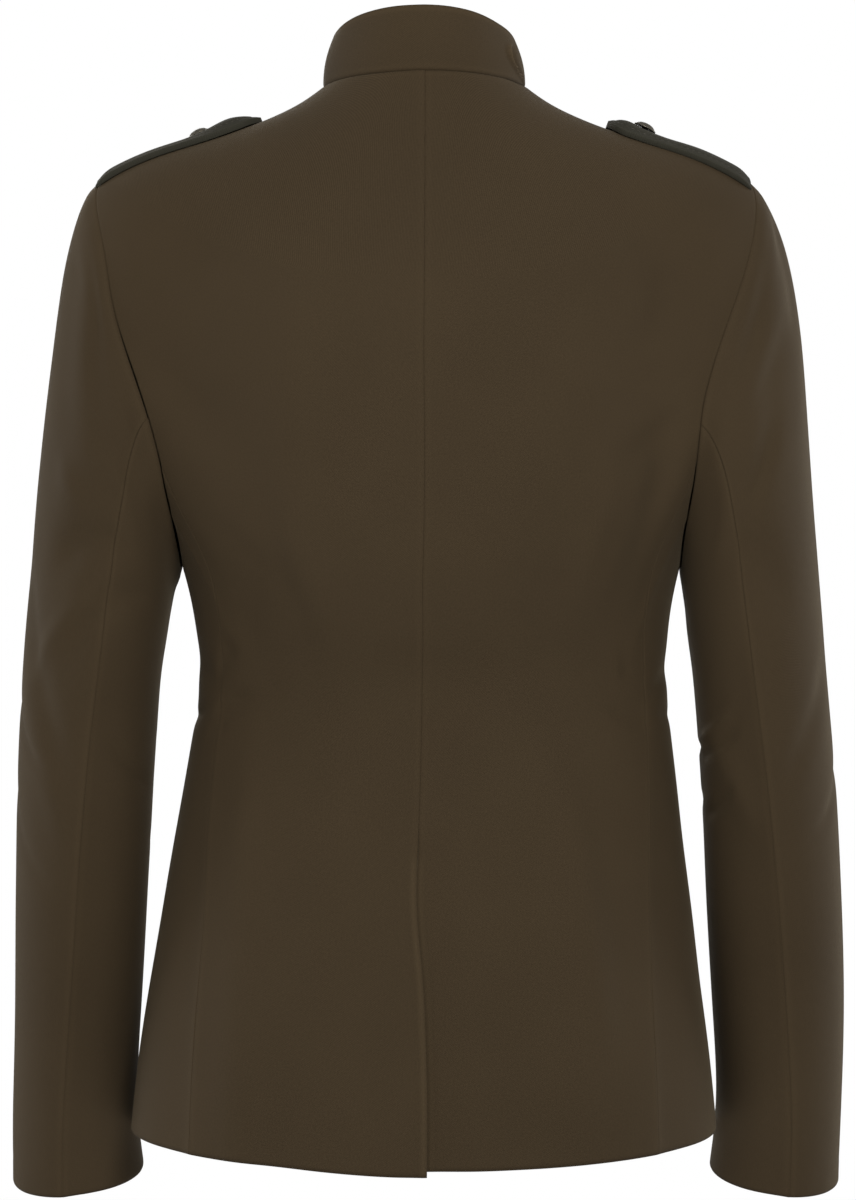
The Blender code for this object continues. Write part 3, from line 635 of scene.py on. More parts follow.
# %% Finished piece
def finished(name, bm, finish):
    """Makes a bmesh a named piece of the blazer, with its materials."""
    for face in bm.faces:
        face.smooth = True
    mesh = bpy.data.meshes.new(name)
    bm.to_mesh(mesh)
    bm.free()
    for material_name in finish:
        mesh.materials.append(bpy.data.materials[material_name])
    piece = bpy.data.objects.new(name, mesh)
    bpy.context.scene.collection.objects.link(piece)
    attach(piece, "root")
    print(f"{name}: {len(mesh.polygons)} faces")
    return piece


def mark_cloth(mesh, outer, painted_light_and_shade):
    """Gives the mesh a map of its threads, across and up the panel in metres, and its painted edge light and
    shade.
    """
    rows, columns = outer.shape[:2]
    places = np.zeros(len(mesh.vertices), int)
    mesh.attributes["place"].data.foreach_get("value", places)
    places = places % (rows * columns)
    away = distances(outer)
    middle = columns // 2
    from_middle = away["left"] - away["left"][:, middle : middle + 1]
    weave = np.stack([from_middle, away["bottom"]], axis=-1) * MM
    corners = np.zeros(len(mesh.loops), int)
    mesh.loops.foreach_get("vertex_index", corners)
    layer = mesh.uv_layers.new(name="Weave")
    layer.data.foreach_set("uv", weave.reshape(-1, 2)[places[corners]].astype(np.float32).ravel())
    # The attribute holds painted sheen, painted highlights and painted shade along the edges.
    painted_light_attribute = mesh.attributes.new("painted_light_and_shade", "FLOAT", "POINT")
    painted_light_attribute.data.foreach_set("value", painted_light_and_shade.ravel()[places].astype(np.float32))


# %% Cloth piece
LINED = ("brown twill", "lining")


def cloth_piece(name, outer, inner, painted_light_and_shade, spare=None, finish=LINED, soften=0.5):
    """A closed shell between two grids of points in mm. spare marks the squares that it doesn't have."""
    piece = finished(name, cloth_shell(outer, inner, spare), finish)
    mark_cloth(piece.data, outer, painted_light_and_shade)
    bevel = piece.modifiers.new("Soft edges", "BEVEL")
    bevel.width = soften * MM
    bevel.segments = 2
    bevel.limit_method = "ANGLE"
    bevel.angle_limit = math.radians(50)
    return piece


# %% [markdown]
# ## The twill
#
# A twill has fine slanting ridges. Each is a row of short yarn floats, one step up from the last. One node
# group makes the ridges and the yarns from the panel's own map of its threads, and gives a height for the
# bump and a shade for the colour: uneven yarn tone, and painted shade that darkens the grooves between the
# ridges. A photographed weave would look as fine, but it would repeat and need a file. Both cloths use the
# group, each with its own colours.

# %% Node helpers
def node(tree, kind, at, **values):
    """A new node at a place in the editor, with its settings."""
    made = tree.nodes.new(kind)
    made.location = at
    for key, value in values.items():
        setattr(made, key, value)
    return made


def maths(tree, at, operation, first, second=None, third=None):
    """A Math node. Each input is a number or another node's output."""
    made = node(tree, "ShaderNodeMath", at, operation=operation)
    for socket, value in zip(made.inputs, (first, second, third)):
        if value is None:
            continue
        if isinstance(value, (int, float)):
            socket.default_value = value
        else:
            tree.links.new(value, socket)
    return made.outputs[0]


# %% Twill node group
TWILL_PITCH = 0.0009  # metres from ridge to ridge, measured across the panel
TWILL_SLOPE = 0.72
YARN_TURNS = 2.2  # yarn floats in each pitch, up the panel
WOBBLE = 1.6

twill = bpy.data.node_groups.new("Twill weave", "ShaderNodeTree")
twill.interface.new_socket("Weave", in_out="INPUT", socket_type="NodeSocketVector")
pitch_socket = twill.interface.new_socket("Ridge pitch", in_out="INPUT", socket_type="NodeSocketFloat")
pitch_socket.default_value = TWILL_PITCH
twill.interface.new_socket("Height", in_out="OUTPUT", socket_type="NodeSocketFloat")
twill.interface.new_socket("Shade", in_out="OUTPUT", socket_type="NodeSocketFloat")
group_in = node(twill, "NodeGroupInput", (-1200, 0))
group_out = node(twill, "NodeGroupOutput", (600, 0))
wobble = node(twill, "ShaderNodeTexNoise", (-1000, -250), noise_dimensions="2D")
wobble.inputs["Scale"].default_value = 260
wobble.inputs["Detail"].default_value = 2
twill.links.new(group_in.outputs["Weave"], wobble.inputs["Vector"])
split = node(twill, "ShaderNodeSeparateXYZ", (-1000, 0))
twill.links.new(group_in.outputs["Weave"], split.inputs[0])
turns = maths(twill, (-800, 200), "DIVIDE", 2 * math.pi, group_in.outputs["Ridge pitch"])
leaning = maths(twill, (-800, 0), "MULTIPLY", split.outputs["Y"], TWILL_SLOPE)
slant = maths(twill, (-620, 0), "SUBTRACT", split.outputs["X"], leaning)
phase = maths(twill, (-440, 0), "MULTIPLY", slant, turns)
phase = maths(twill, (-260, 0), "MULTIPLY_ADD", wobble.outputs["Fac"], WOBBLE, phase)
ridge = maths(twill, (-80, 0), "MULTIPLY_ADD", maths(twill, (-160, 0), "SINE", phase), 0.5, 0.5)
yarn_turns = maths(twill, (-620, -200), "MULTIPLY", turns, YARN_TURNS)
yarn_phase = maths(twill, (-440, -200), "MULTIPLY", split.outputs["Y"], yarn_turns)
yarn = maths(twill, (-80, -200), "MULTIPLY_ADD", maths(twill, (-260, -200), "SINE", yarn_phase), 0.5, 0.5)
ridge_part = maths(twill, (60, 60), "MULTIPLY", ridge, 0.7)
mixed = maths(twill, (120, -100), "MULTIPLY_ADD", yarn, 0.3, ridge_part)
twill.links.new(mixed, group_out.inputs["Height"])
slub = node(twill, "ShaderNodeTexNoise", (-200, -450), noise_dimensions="2D")
slub.inputs["Scale"].default_value = 900
slub.inputs["Detail"].default_value = 1
twill.links.new(group_in.outputs["Weave"], slub.inputs["Vector"])
# Shade: uneven yarn tone from the slub noise, and painted shade that makes the grooves darker than the
# ridges.
height_part = maths(twill, (200, -350), "MULTIPLY", mixed, 0.55)
shade = maths(twill, (300, -250), "MULTIPLY_ADD", slub.outputs["Fac"], 0.45, height_part)
twill.links.new(shade, group_out.inputs["Shade"])
print("twill group:", len(twill.nodes), "nodes")

# %% [markdown]
# ## The two cloths
#
# The cloth is a dark olive brown with a matt face. A little sheen stands for the fuzz that catches light at
# the edges of the form. Wide soft noise keeps large areas from looking printed. Pressed seam edges have a
# painted sheen that makes them slightly lighter, and the turned edges of hems and cuffs have painted shade
# that makes them darker. One plain colour would be simpler, but it looks like plastic.

# %% Cloth materials
SHEEN_TINT = (0.95, 0.78, 0.52, 1)
RELIEF = {"strength": 0.3, "distance": 0.0003}


def cloth_material(name, dark, light, sheen, rough):
    """A twill with painted shade: a dark colour in its grooves and a light one on its ridges."""
    made = bpy.data.materials.new(name)
    made.use_nodes = True
    tree = made.node_tree
    shader = tree.nodes["Principled BSDF"]
    shader.inputs["Roughness"].default_value = rough
    shader.inputs["Sheen Weight"].default_value = sheen
    shader.inputs["Sheen Roughness"].default_value = 0.35
    shader.inputs["Sheen Tint"].default_value = SHEEN_TINT
    shader.inputs["Specular IOR Level"].default_value = 0.15
    weave = node(tree, "ShaderNodeUVMap", (-1100, 0), uv_map="Weave")
    group = node(tree, "ShaderNodeGroup", (-900, 0), node_tree=twill)
    group.inputs["Ridge pitch"].default_value = TWILL_PITCH
    tree.links.new(weave.outputs["UV"], group.inputs["Weave"])
    place = node(tree, "ShaderNodeTexCoord", (-1100, -300))
    cloud = node(tree, "ShaderNodeTexNoise", (-900, -300))
    cloud.inputs["Scale"].default_value = 9
    cloud.inputs["Detail"].default_value = 3
    tree.links.new(place.outputs["Object"], cloud.inputs["Vector"])
    # Painted light and shade at the edges, from the attribute: lighter where painted sheen or a painted
    # highlight lies, darker where painted shade lies on a turned hem.
    painted_light_and_shade = node(tree, "ShaderNodeAttribute", (-900, -550), attribute_name="painted_light_and_shade")
    patches = maths(tree, (-700, -300), "MULTIPLY_ADD", cloud.outputs["Fac"], 0.35, -0.175)
    amount = maths(tree, (-520, -100), "MULTIPLY_ADD", group.outputs["Shade"], 0.75, patches)
    amount = maths(tree, (-340, -100), "MULTIPLY_ADD", painted_light_and_shade.outputs["Fac"], 0.35, amount)
    ramp = node(tree, "ShaderNodeValToRGB", (-180, 0))
    ramp.color_ramp.elements[0].color = (*dark, 1)
    ramp.color_ramp.elements[1].color = (*light, 1)
    tree.links.new(amount, ramp.inputs["Fac"])
    tree.links.new(ramp.outputs["Color"], shader.inputs["Base Color"])
    bump = node(tree, "ShaderNodeBump", (-180, -350))
    bump.inputs["Strength"].default_value = RELIEF["strength"]
    bump.inputs["Distance"].default_value = RELIEF["distance"]
    tree.links.new(group.outputs["Height"], bump.inputs["Height"])
    tree.links.new(bump.outputs["Normal"], shader.inputs["Normal"])
    print(f"{name}: {len(tree.nodes)} nodes")


cloth_material("brown twill", (0.023, 0.0145, 0.0062), (0.056, 0.038, 0.0188), sheen=0.06, rough=0.88)
cloth_material("strap twill", (0.013, 0.0122, 0.008), (0.032, 0.030, 0.021), sheen=0.03, rough=0.85)

# %% [markdown]
# ## Lining, thread and metal
#
# The lining is a smooth dark satin, the stitches are a slightly lighter thread, and the buttons are aged
# metal. Each is one smooth finish whose colour and roughness vary a little, so one function makes all of
# them. Without the noise they would look like plastic.

# %% Smooth finishes
def plain_material(name, colour, metal, rough, grain, amount):
    """A smooth finish whose roughness and colour vary a little with a soft noise."""
    made = bpy.data.materials.new(name)
    made.use_nodes = True
    tree = made.node_tree
    shader = tree.nodes["Principled BSDF"]
    shader.inputs["Metallic"].default_value = metal
    place = node(tree, "ShaderNodeTexCoord", (-900, 0))
    noise = node(tree, "ShaderNodeTexNoise", (-700, 0))
    noise.inputs["Scale"].default_value = grain
    noise.inputs["Detail"].default_value = 4
    tree.links.new(place.outputs["Object"], noise.inputs["Vector"])
    ramp = node(tree, "ShaderNodeValToRGB", (-400, 100))
    ramp.color_ramp.elements[0].color = (*[value * (1 - amount) for value in colour], 1)
    ramp.color_ramp.elements[1].color = (*[min(1, value * (1 + amount)) for value in colour], 1)
    tree.links.new(noise.outputs["Fac"], ramp.inputs["Fac"])
    tree.links.new(ramp.outputs["Color"], shader.inputs["Base Color"])
    spread = maths(tree, (-400, -200), "MULTIPLY_ADD", noise.outputs["Fac"], 0.2, rough - 0.1)
    tree.links.new(spread, shader.inputs["Roughness"])
    print(f"{name}: {len(tree.nodes)} nodes")


plain_material("lining", (0.030, 0.023, 0.014), 0.0, 0.45, 60, 0.15)
plain_material("thread", (0.040, 0.032, 0.020), 0.0, 0.6, 900, 0.3)
plain_material("buttonhole thread", (0.026, 0.020, 0.012), 0.0, 0.7, 900, 0.3)
plain_material("button metal", (0.11, 0.098, 0.075), 0.9, 0.42, 320, 0.35)

# %% [markdown]
# ## The two backs
#
# Each back runs from the centre seam to the side back seam, the armhole and the shoulder seam. From the top
# of the vent down, the left one ends in a flap, a folded free edge, and the right one goes on beneath it as
# an underlap. The vent could be a slit cut in one back, but two edges that lie over each other hang as they
# should.

# %% Vent
VENT_FOLD = 26.0  # mm over which the right back sinks beneath the flap
UNDERLAP = 17.0  # degrees past the centre seam
LAP_LINES = 13  # grid lines across the underlap
FLAP_DROP = 3.0  # mm
FLAP_PROUD = 0.8  # mm


def with_underlap(degrees, level, near):
    """Adds the underlap's grid lines past the near edge. The squares above the vent are spare."""
    lap = near[0][:, None] - np.linspace(UNDERLAP, 1.4, LAP_LINES)
    degrees = np.concatenate([lap, degrees], axis=1)
    level = np.concatenate([np.repeat(near[1][:, None], LAP_LINES, axis=1), level], axis=1)
    spare = np.zeros(degrees.shape, bool)
    spare[near[1] >= VENT_TOP, :LAP_LINES] = True
    return degrees, level, spare


# %% Crumpled cloth
def crumple(degrees, level, side, seed):
    """The creases, and the slight unevenness of a large piece of cloth."""
    height = fold_height(BODY_CREASES, side, degrees, level, BODY_SIZE, 0.35)
    return height + 0.35 * unevenness(degrees * BODY_SIZE[0] / 38, level / 55, seed)


# %% Back panels
SIDES = {"left": 1, "right": -1}
BACK_ARMHOLE = {1: 0.5, -1: 0.3}  # how much deeper each back's edge rolls along the armhole


def back_panel(name, side):
    shoulder = straight_run(90, SHOULDER_TIP, NECK)
    far_run = np.concatenate([seam_run(SIDE_BACK_SEAM), armhole_run(SIDE_BACK_AT, 0, side), shoulder])
    degrees, level, _, near = panel_grid(seam_run(CENTRE_SEAM, side), far_run, side)
    spare = None
    if side > 0:
        # The flap hangs a little lower, with a rounded corner.
        level = level - FLAP_DROP * (1 - fade(degrees, 4, 30)) * (1 - fade(level, HEM, HEM + 60))
    else:
        degrees, level, spare = with_underlap(degrees, level, near)
    vent = fade(level, VENT_TOP - 4, VENT_TOP + 6)
    points = body(degrees, level, side)
    facing = grid_facing(points, side)
    away = distances(points)
    height = crumple(degrees, level, side, 21 + side)
    if side < 0:
        away["left"] = np.abs(away["left"] - away["left"][:, LAP_LINES : LAP_LINES + 1])
        near_edge = 1 - fade(degrees - near[0][:, None], 1.5, 9.0)
        sunk = (WALL + LAYER_GAP) * near_edge * (1 - fade(level, VENT_TOP, VENT_TOP + VENT_FOLD))
        points = points - facing * sunk[..., None]
        # The underlap has the creases of the flap that lies on it.
        under = fade(-degrees, 0, 3)
        height = height * (1 - under) + crumple(-degrees, level, 1, 22) * under
    points = points + facing * height[..., None]
    armhole_part = fade(level, -300, -286) * fade(-level, 150, 166)
    side_seam = 0.25 + BACK_ARMHOLE[side] * armhole_part
    sink = seam_roll(away, {"left": vent * 0.6, "right": side_seam, "top": 0.8, "bottom": 1.8}, 11 + side)
    outer = points - facing * sink[..., None]
    if side > 0:
        # The flap's folded edge stands a little proud.
        proud = FLAP_PROUD * np.exp(-((away["left"] - 2.5) / 3.0) ** 2) * (1 - vent)
        outer = outer + facing * proud[..., None]
    outer = edge_shift(outer, away, {"left": HALF_GAP * vent, "right": HALF_GAP})
    allowances = {"left": -ALLOWANCE * vent, "right": -ALLOWANCE, "top": -SHOULDER_ALLOWANCE}
    inner = edge_shift(points - facing * WALL, away, allowances)
    # Painted sheen along the seams and along the flap's folded edge, and painted shade along the turned hem.
    painted_light_and_shade = paint_edge_light_and_shade(away, {"left": 0.15 + 0.6 * (1 - vent), "right": 0.2, "top": 0.2}, "bottom")
    return cloth_piece(name, outer, inner, painted_light_and_shade, spare)


for word, side in SIDES.items():
    panel = back_panel(f"back_{word}_cloth", side)
    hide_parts(f"back_{word}")

# %% [markdown]
# ## The side panels
#
# Each side panel shapes the waist. Its top edge is the bottom of the armhole, so the grid's upper rows bend
# down with that curve. Cutting the grid along the curve would leave a jagged edge.

# %% Side panels
SIDE_FALL = 2.8  # mm


def fallen(away, reach):
    """Cloth that falls in behind its near seam: 0 at the seam, most beside it, and 0 again farther away."""
    return (1 - np.exp(-away["left"] / 9)) * np.exp(-((away["left"] / reach) ** 2))


def side_panel(name, side):
    degrees, level, parts, near = panel_grid(seam_run(SIDE_BACK_SEAM), seam_run(SIDE_FRONT_SEAM), side)
    turn = SIDE_BACK_AT + (SIDE_FRONT_AT - SIDE_BACK_AT) * parts[-1]
    top_degrees, top_levels = armhole(turn, side)
    up = (near[1] - HEM) / (near[1][-1] - HEM)
    bend = fade(up, 0.35, 1.0)[:, None] * up[:, None]
    degrees = degrees + (top_degrees - degrees[-1]) * bend
    level = level + (top_levels - level[-1]) * bend
    points = body(degrees, level, side)
    facing = grid_facing(points, side)
    away = distances(points)
    # Over the hip the side panel turns away behind its back seam.
    fall = SIDE_FALL * fallen(away, 30) * fade(-level, 370, 450)
    height = crumple(degrees, level, side, 41 + side) - fall
    points = points + facing * height[..., None]
    sink = seam_roll(away, {"left": 0.25, "right": 0.5, "top": 0.9, "bottom": 1.8}, 31 + side)
    outer = edge_shift(points - facing * sink[..., None], away, {"left": HALF_GAP, "right": HALF_GAP})
    inner = points - facing * WALL
    inner = edge_shift(inner, away, {"left": -ALLOWANCE, "right": -ALLOWANCE, "top": -ALLOWANCE})
    # Painted sheen along the seams, and painted shade along the turned hem.
    painted_light_and_shade = paint_edge_light_and_shade(away, {"left": 0.2, "right": 0.3, "top": 0.2}, "bottom")
    return cloth_piece(name, outer, inner, painted_light_and_shade)


for word, side in SIDES.items():
    panel = side_panel(f"side_{word}_cloth", side)
    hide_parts(f"side_{word}")

# %% [markdown]
# ## The fronts
#
# The photograph doesn't show the fronts, so they are plain. Each runs to a straight finished edge, a little
# past the centre front, and the right one lies over the left one, as women's blazers fasten. The edge could
# stay at the same degrees all the way up, but it would then wave with the figure.

# %% Front panels
FRONT_REACH = {-1: 15.0, 1: 16.5}  # mm past the centre front


def front_panel(name, side):
    shoulder = straight_run(90, SHOULDER_TIP, NECK)
    near_run = np.concatenate([seam_run(SIDE_FRONT_SEAM), armhole_run(SIDE_FRONT_AT, 360, side), shoulder])
    degrees, level, _, _ = panel_grid(near_run, front_edge_run(FRONT_REACH[side]), side)
    points = body(degrees, level, side)
    facing = grid_facing(points, side)
    away = distances(points)
    if side > 0:
        points = points - facing * ((WALL + LAYER_GAP) * fade(degrees, 150, 169))[..., None]
    height = crumple(degrees, level, side, 61 + side) * fade(-degrees, -176, -150)
    points = points + facing * height[..., None]
    sink = seam_roll(away, {"left": 0.8, "top": 0.8, "bottom": 1.8}, 51 + side)
    outer = edge_shift(points - facing * sink[..., None], away, {"left": HALF_GAP})
    allowances = {"left": -ALLOWANCE, "top": -SHOULDER_ALLOWANCE}
    inner = edge_shift(points - facing * WALL, away, allowances)
    # Painted sheen along the seams and the front edge, and painted shade along the turned hem.
    painted_light_and_shade = paint_edge_light_and_shade(away, {"left": 0.3, "top": 0.2, "right": 0.8}, "bottom")
    return cloth_piece(name, outer, inner, painted_light_and_shade)


for word, side in SIDES.items():
    panel = front_panel(f"front_{word}_cloth", side)
    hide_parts(f"front_{word}")

# %% [markdown]
# ## The collar
#
# The stand collar is one band on the neck ring. It leans in towards its top edge and bows out half-way up.
# On its right side a crescent crease shows where the band buckles above the shoulder. A band extruded
# straight up would be simpler, but it wouldn't lean with the neck.

# %% Collar form
COLLAR = np.array([
    # degrees, height, lean
    [0, 38.5, 4.5], [30, 37.5, 5], [60, 33.5, 5.5], [90, 29, 5.5], [130, 31, 5], [178, 33, 5],
])
COLLAR_END = 177.0
COLLAR_TILT = 2.5
COLLAR_SWELL = 1.2
COLLAR_CORNER = 0.28  # share of the height that each front corner is cut down by
COLLAR_WIDTH = 36.0  # mm, to count its rows
COLLAR_STEPS = (1.6, 1.8)  # mm between grid lines, along the band and up it
CRESCENT = {"ridge": 2.4, "ridge_width": 2.0, "hollow": 2.8, "hollow_width": 3.6, "apart": 5.6}


def collar_point(degrees, height):
    """A point of the collar's outer face: degrees from -177 to 177, and height from 0 to 1."""
    at = np.abs(degrees)
    ring = body(at, np.full_like(at, NECK))
    ahead = body(at + 1.0, np.full_like(at, NECK)) - body(at - 1.0, np.full_like(at, NECK))
    along = unit(ahead)
    outward = unit(np.stack([-along[..., 1], along[..., 0], 0 * at], axis=-1))
    up = unit(np.cross(outward, along))
    up = np.where(up[..., 2:] < 0, -up, up)
    tilt = COLLAR_TILT * fade(-degrees, 5, 60) * fade(degrees, -165, -110)
    rise = SEAM_GAP + (smooth(COLLAR, 1, at) - tilt) * height
    swell = COLLAR_SWELL * np.sin(math.pi * height)
    lean = smooth(COLLAR, 2, at) * np.maximum(height, 0) ** 1.3 - swell
    points = ring + up * rise[..., None] - outward * lean[..., None]
    points[..., 0] *= np.where(degrees < 0, -1, 1)
    return points


# %% Collar band
def crescent(at, height):
    """The crease's height in mm, and the painted highlight along its ridge, from 0 to 1."""
    curve = -57 - 105 * (height - 0.5) ** 2
    beside = (at - curve) * 1.05
    reach = fade(height, -0.05, 0.2) * (1 - fade(height, 0.5, 0.85))
    ridge = CRESCENT["ridge"] * np.exp(-((beside / CRESCENT["ridge_width"]) ** 2))
    # The hollow lies beyond the ridge, towards the front.
    hollow = CRESCENT["hollow"] * np.exp(-(((beside + CRESCENT["apart"]) / CRESCENT["hollow_width"]) ** 2))
    return reach * (ridge - hollow), reach * np.exp(-((beside / 1.4) ** 2))


def collar_band(name):
    trial = np.linspace(-COLLAR_END, COLLAR_END, 2 * FINE)
    lengths = run_length(collar_point(trial, np.zeros(2 * FINE)))
    degrees = np.interp(shares(lengths[-1], COLLAR_STEPS[0])[0] * lengths[-1], lengths, trial)
    height = shares(COLLAR_WIDTH, COLLAR_STEPS[1])[0]
    at, height = np.meshgrid(degrees, height)
    corner = fade(np.abs(at), 166, COLLAR_END)
    height = height * (1 - COLLAR_CORNER * corner**2)
    points = collar_point(at, height)
    facing = -grid_facing(points, 1)
    facing *= np.sign((facing[:, len(degrees) // 2, 1]).mean())
    away = distances(points)
    sink = seam_roll(away, {"bottom": 1.0}, 71)
    crease, painted_ridge_highlight = crescent(at, height)
    sink = sink - crease - 0.25 * unevenness(at / 16, height * 1.5, 73)
    outer = points - facing * sink[..., None]
    # Painted sheen along the collar's seam and folded top edge, and a painted highlight along the crease's
    # ridge.
    painted_light_and_shade = paint_edge_light_and_shade(away, {"bottom": 0.3, "top": 0.6}) + 1.6 * painted_ridge_highlight
    inner = edge_shift(points - facing * WALL, away, {"bottom": -SHOULDER_ALLOWANCE})
    return cloth_piece(name, outer, inner, painted_light_and_shade, finish=("brown twill", "brown twill"), soften=0.8)


collar = collar_band("collar_cloth")
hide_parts("collar")

# %% [markdown]
# ## The sleeves
#
# Each sleeve has a top and an under piece. The hindarm seam shows down the back of the arm. At the armhole
# the sleeve head is eased in, so it stands a little above the shoulder, and a turned-up hem marks the cuff.
# One closed tube would be quicker, but the seams between the two pieces give a sleeve its bend.

# %% Sleeve grid
CUFF_HEM = 17.0  # mm up from the edge
SLEEVE_FALL = 4.0  # mm
TUCKED = {1: 1.1, -1: 0.7}  # mm that each sleeve lies lower beside the back's edge


def hindarm(rings):
    return smooth(HINDARM_SEAM, 1, rings)


def forearm(rings):
    return smooth(FOREARM_SEAM, 1, rings)


def forearm_in_front(rings):
    """The same seam, counted the other way round from the outer edge."""
    return forearm(rings) - 360


def sleeve_grid(start, end, side):
    """An even grid's places round the sleeve and its rings, between two seams."""
    trial = np.linspace(0, LAST_RING, 200)
    middle = (start(trial) + end(trial)) / 2
    lengths = run_length(sleeve(middle, trial, side))
    ring = np.interp(shares(lengths[-1])[0] * lengths[-1], lengths, trial)
    low = start(ring)[:, None]
    high = end(ring)[:, None]
    around = low + (high - low) * np.linspace(0, 1, TRIAL)
    rings = np.repeat(ring[:, None], TRIAL, axis=1)
    around = low + (high - low) * shares(row_lengths(sleeve(around, rings, side)))
    return around, np.repeat(ring[:, None], around.shape[1], axis=1)


def armhole_ways(around, side):
    """The body's normal along the armhole, and the way across the seam from the body to the sleeve."""
    ahead = body(*armhole(around + 1.0, side), side)
    behind = body(*armhole(around - 1.0, side), side)
    panel = body_facing(*armhole(around, side), side)
    return panel, side * unit(np.cross(unit(ahead - behind), panel))


# %% Sleeve creases
def sleeve_height(around, ring, away, side, seed):
    """How far the creases and the seam at the back of the armhole move the sleeve's points."""
    height = fold_height(SLEEVE_CREASES, side, around, ring, SLEEVE_SIZE, 0.35)
    height = height * fade(away["bottom"], 2, 22)
    height = height + 0.35 * unevenness(around / 45, ring * 0.7, seed + 5) * fade(ring, 0.3, 1.5)
    # Below the shoulder blade the sleeve comes out from beneath the back, so it lies lower beside the seam.
    beneath = fade(around, 62, 84) * fade(-around, -172, -150) * np.exp(-(((away["bottom"] - 6) / 11) ** 2))
    return height - TUCKED[side] * beneath


def sleeve_sink(around, ring, away, side, seed):
    """The seams, the ease at the sleeve head, and the line of the turned-up hem."""
    seams = {"left": 0.2, "right": 0.3, "bottom": 0.8 if side > 0 else 0.5, "top": 1.8}
    head = np.exp(-(((away["bottom"] - 7) / 5) ** 2)) * (0.6 + 0.4 * np.cos(np.radians(around)))
    eased = 0.5 * head * (1 + 0.5 * unevenness(around / 9, ring * 0, seed + 9))
    hem = 0.16 * np.exp(-(((away["top"] - CUFF_HEM) / 1.6) ** 2))
    return seam_roll(away, seams, seed) - eased + hem


# %% Sleeve pieces
def sleeve_piece(name, side, start, end, seed):
    around, ring = sleeve_grid(start, end, side)
    points = sleeve(around, ring, side)
    facing = grid_facing(points, side)
    away = distances(points)
    # The grid's first row is the armhole, so its bottom edge is the seam and its top edge the cuff.
    panel, outward = armhole_ways(around[0], side)
    close = np.exp(-away["bottom"] / 3.0)[..., None]
    points = points + (0.05 * outward + SEAM_GAP * panel) * close
    pressing = np.maximum(0, (facing * outward).sum(-1, keepdims=True)) * outward
    inward = unit(facing - pressing * (1 - fade(away["bottom"], 0, 14))[..., None])
    height = sleeve_height(around, ring, away, side, seed)
    if "under" in name:
        # The under piece falls in behind the hindarm seam, so the seam shows as a change of tone.
        height = height - SLEEVE_FALL * fallen(away, 34) * fade(ring, 6.0, 9.0)
    points = points + facing * height[..., None]
    sink = sleeve_sink(around, ring, away, side, seed)
    outer = edge_shift(points - facing * sink[..., None], away, {"left": HALF_GAP, "right": HALF_GAP})
    inner = edge_shift(points - inward * WALL, away, {"left": -ALLOWANCE, "right": -ALLOWANCE})
    inner = inner - (1.6 * outward + 0.5 * panel) * np.exp(-away["bottom"] / 1.5)[..., None]
    # Painted sheen along the seams and painted shade along the turned edge of the cuff.
    painted_light_and_shade = paint_edge_light_and_shade(away, {"left": 0.25, "right": 0.25, "bottom": 0.2}, "top")
    return cloth_piece(name, outer, inner, painted_light_and_shade)


for word, side in SIDES.items():
    top = sleeve_piece(f"sleeve_top_{word}_cloth", side, forearm_in_front, hindarm, 81 + side)
    under = sleeve_piece(f"sleeve_under_{word}_cloth", side, hindarm, forearm, 91 + side)
    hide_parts(f"sleeve_top_{word}")
    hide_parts(f"sleeve_under_{word}")

# %% [markdown]
# ## The epaulettes
#
# Each epaulette is a stiff strap of a darker cloth. Its outer end is sewn into the armhole seam, and its
# rounded nose is raised and buttoned near the neck. A flat strap could be bent onto the shoulder with a
# modifier, but a grid on the same form as the shoulder always lies the right way.

# %% Strap sizes
EPAULETTE = {
    1: np.array([
        # level, half_width, lift
        [-158, 22.5, 0.5], [-135, 22, 0.7], [-112, 21.5, 1.1], [-99, 21, 1.5], [-88, 20.8, 2.6],
        [-80, 20.5, 3.9], [-73, 20, 5.2], [-65, 19, 5.8], [-58, 16, 4.6], [-53, 12, 2.8], [-49, 6, 1.0],
        [-47, 2.5, 0.3],
    ]),
    -1: np.array([
        # level, half_width, lift
        [-158, 22.5, 1.0], [-135, 22, 1.5], [-118, 21.5, 2.0], [-100, 21, 2.1], [-91, 20.8, 2.7],
        [-84, 20.6, 3.4], [-78, 20.3, 4.3], [-73, 20, 5.1], [-69, 18, 5.1], [-65, 14, 4.2],
        [-61.5, 8.5, 2.8], [-59, 3, 1.6],
    ]),
}
EPAULETTE_WALL = 3.2  # mm, as are the next five
EPAULETTE_SHIFT = {1: -5.0, -1: 0.0}  # behind the shoulder line, so -5 is in front of it
EPAULETTE_CURVE = 7.0  # the outer end follows the armhole, so its corners are this much lower
EPAULETTE_BEND = 2.2
STITCH_INSET = 5.0
STITCH_GROOVE = 0.35


def strap_surface(side, level, across):
    """The strap's lower face, at a level and a place across it from -1 to 1, and its outward normal."""
    y = smooth(EPAULETTE[side], 1, level) * across + EPAULETTE_SHIFT[side]
    lift = smooth(EPAULETTE[side], 2, level) * (1 - across**2)
    depth = np.where(y > 0, smooth(RINGS, 4, level), smooth(RINGS, 6, level))
    square = np.where(y > 0, smooth(RINGS, 5, level), smooth(RINGS, 8, level))
    degrees = 90 - np.degrees(np.arcsin(y / (depth * (1 + square))))
    normal = body_facing(degrees, level, side)
    return body(degrees, level, side) + normal * (LAYER_GAP + lift)[..., None], normal


def strap_grid(side, level, across):
    """The same, with the outer end's levels on the curve of the armhole."""
    level = level - EPAULETTE_CURVE * across**2 * (1 - fade(level, -158, -120))
    return strap_surface(side, level, across)


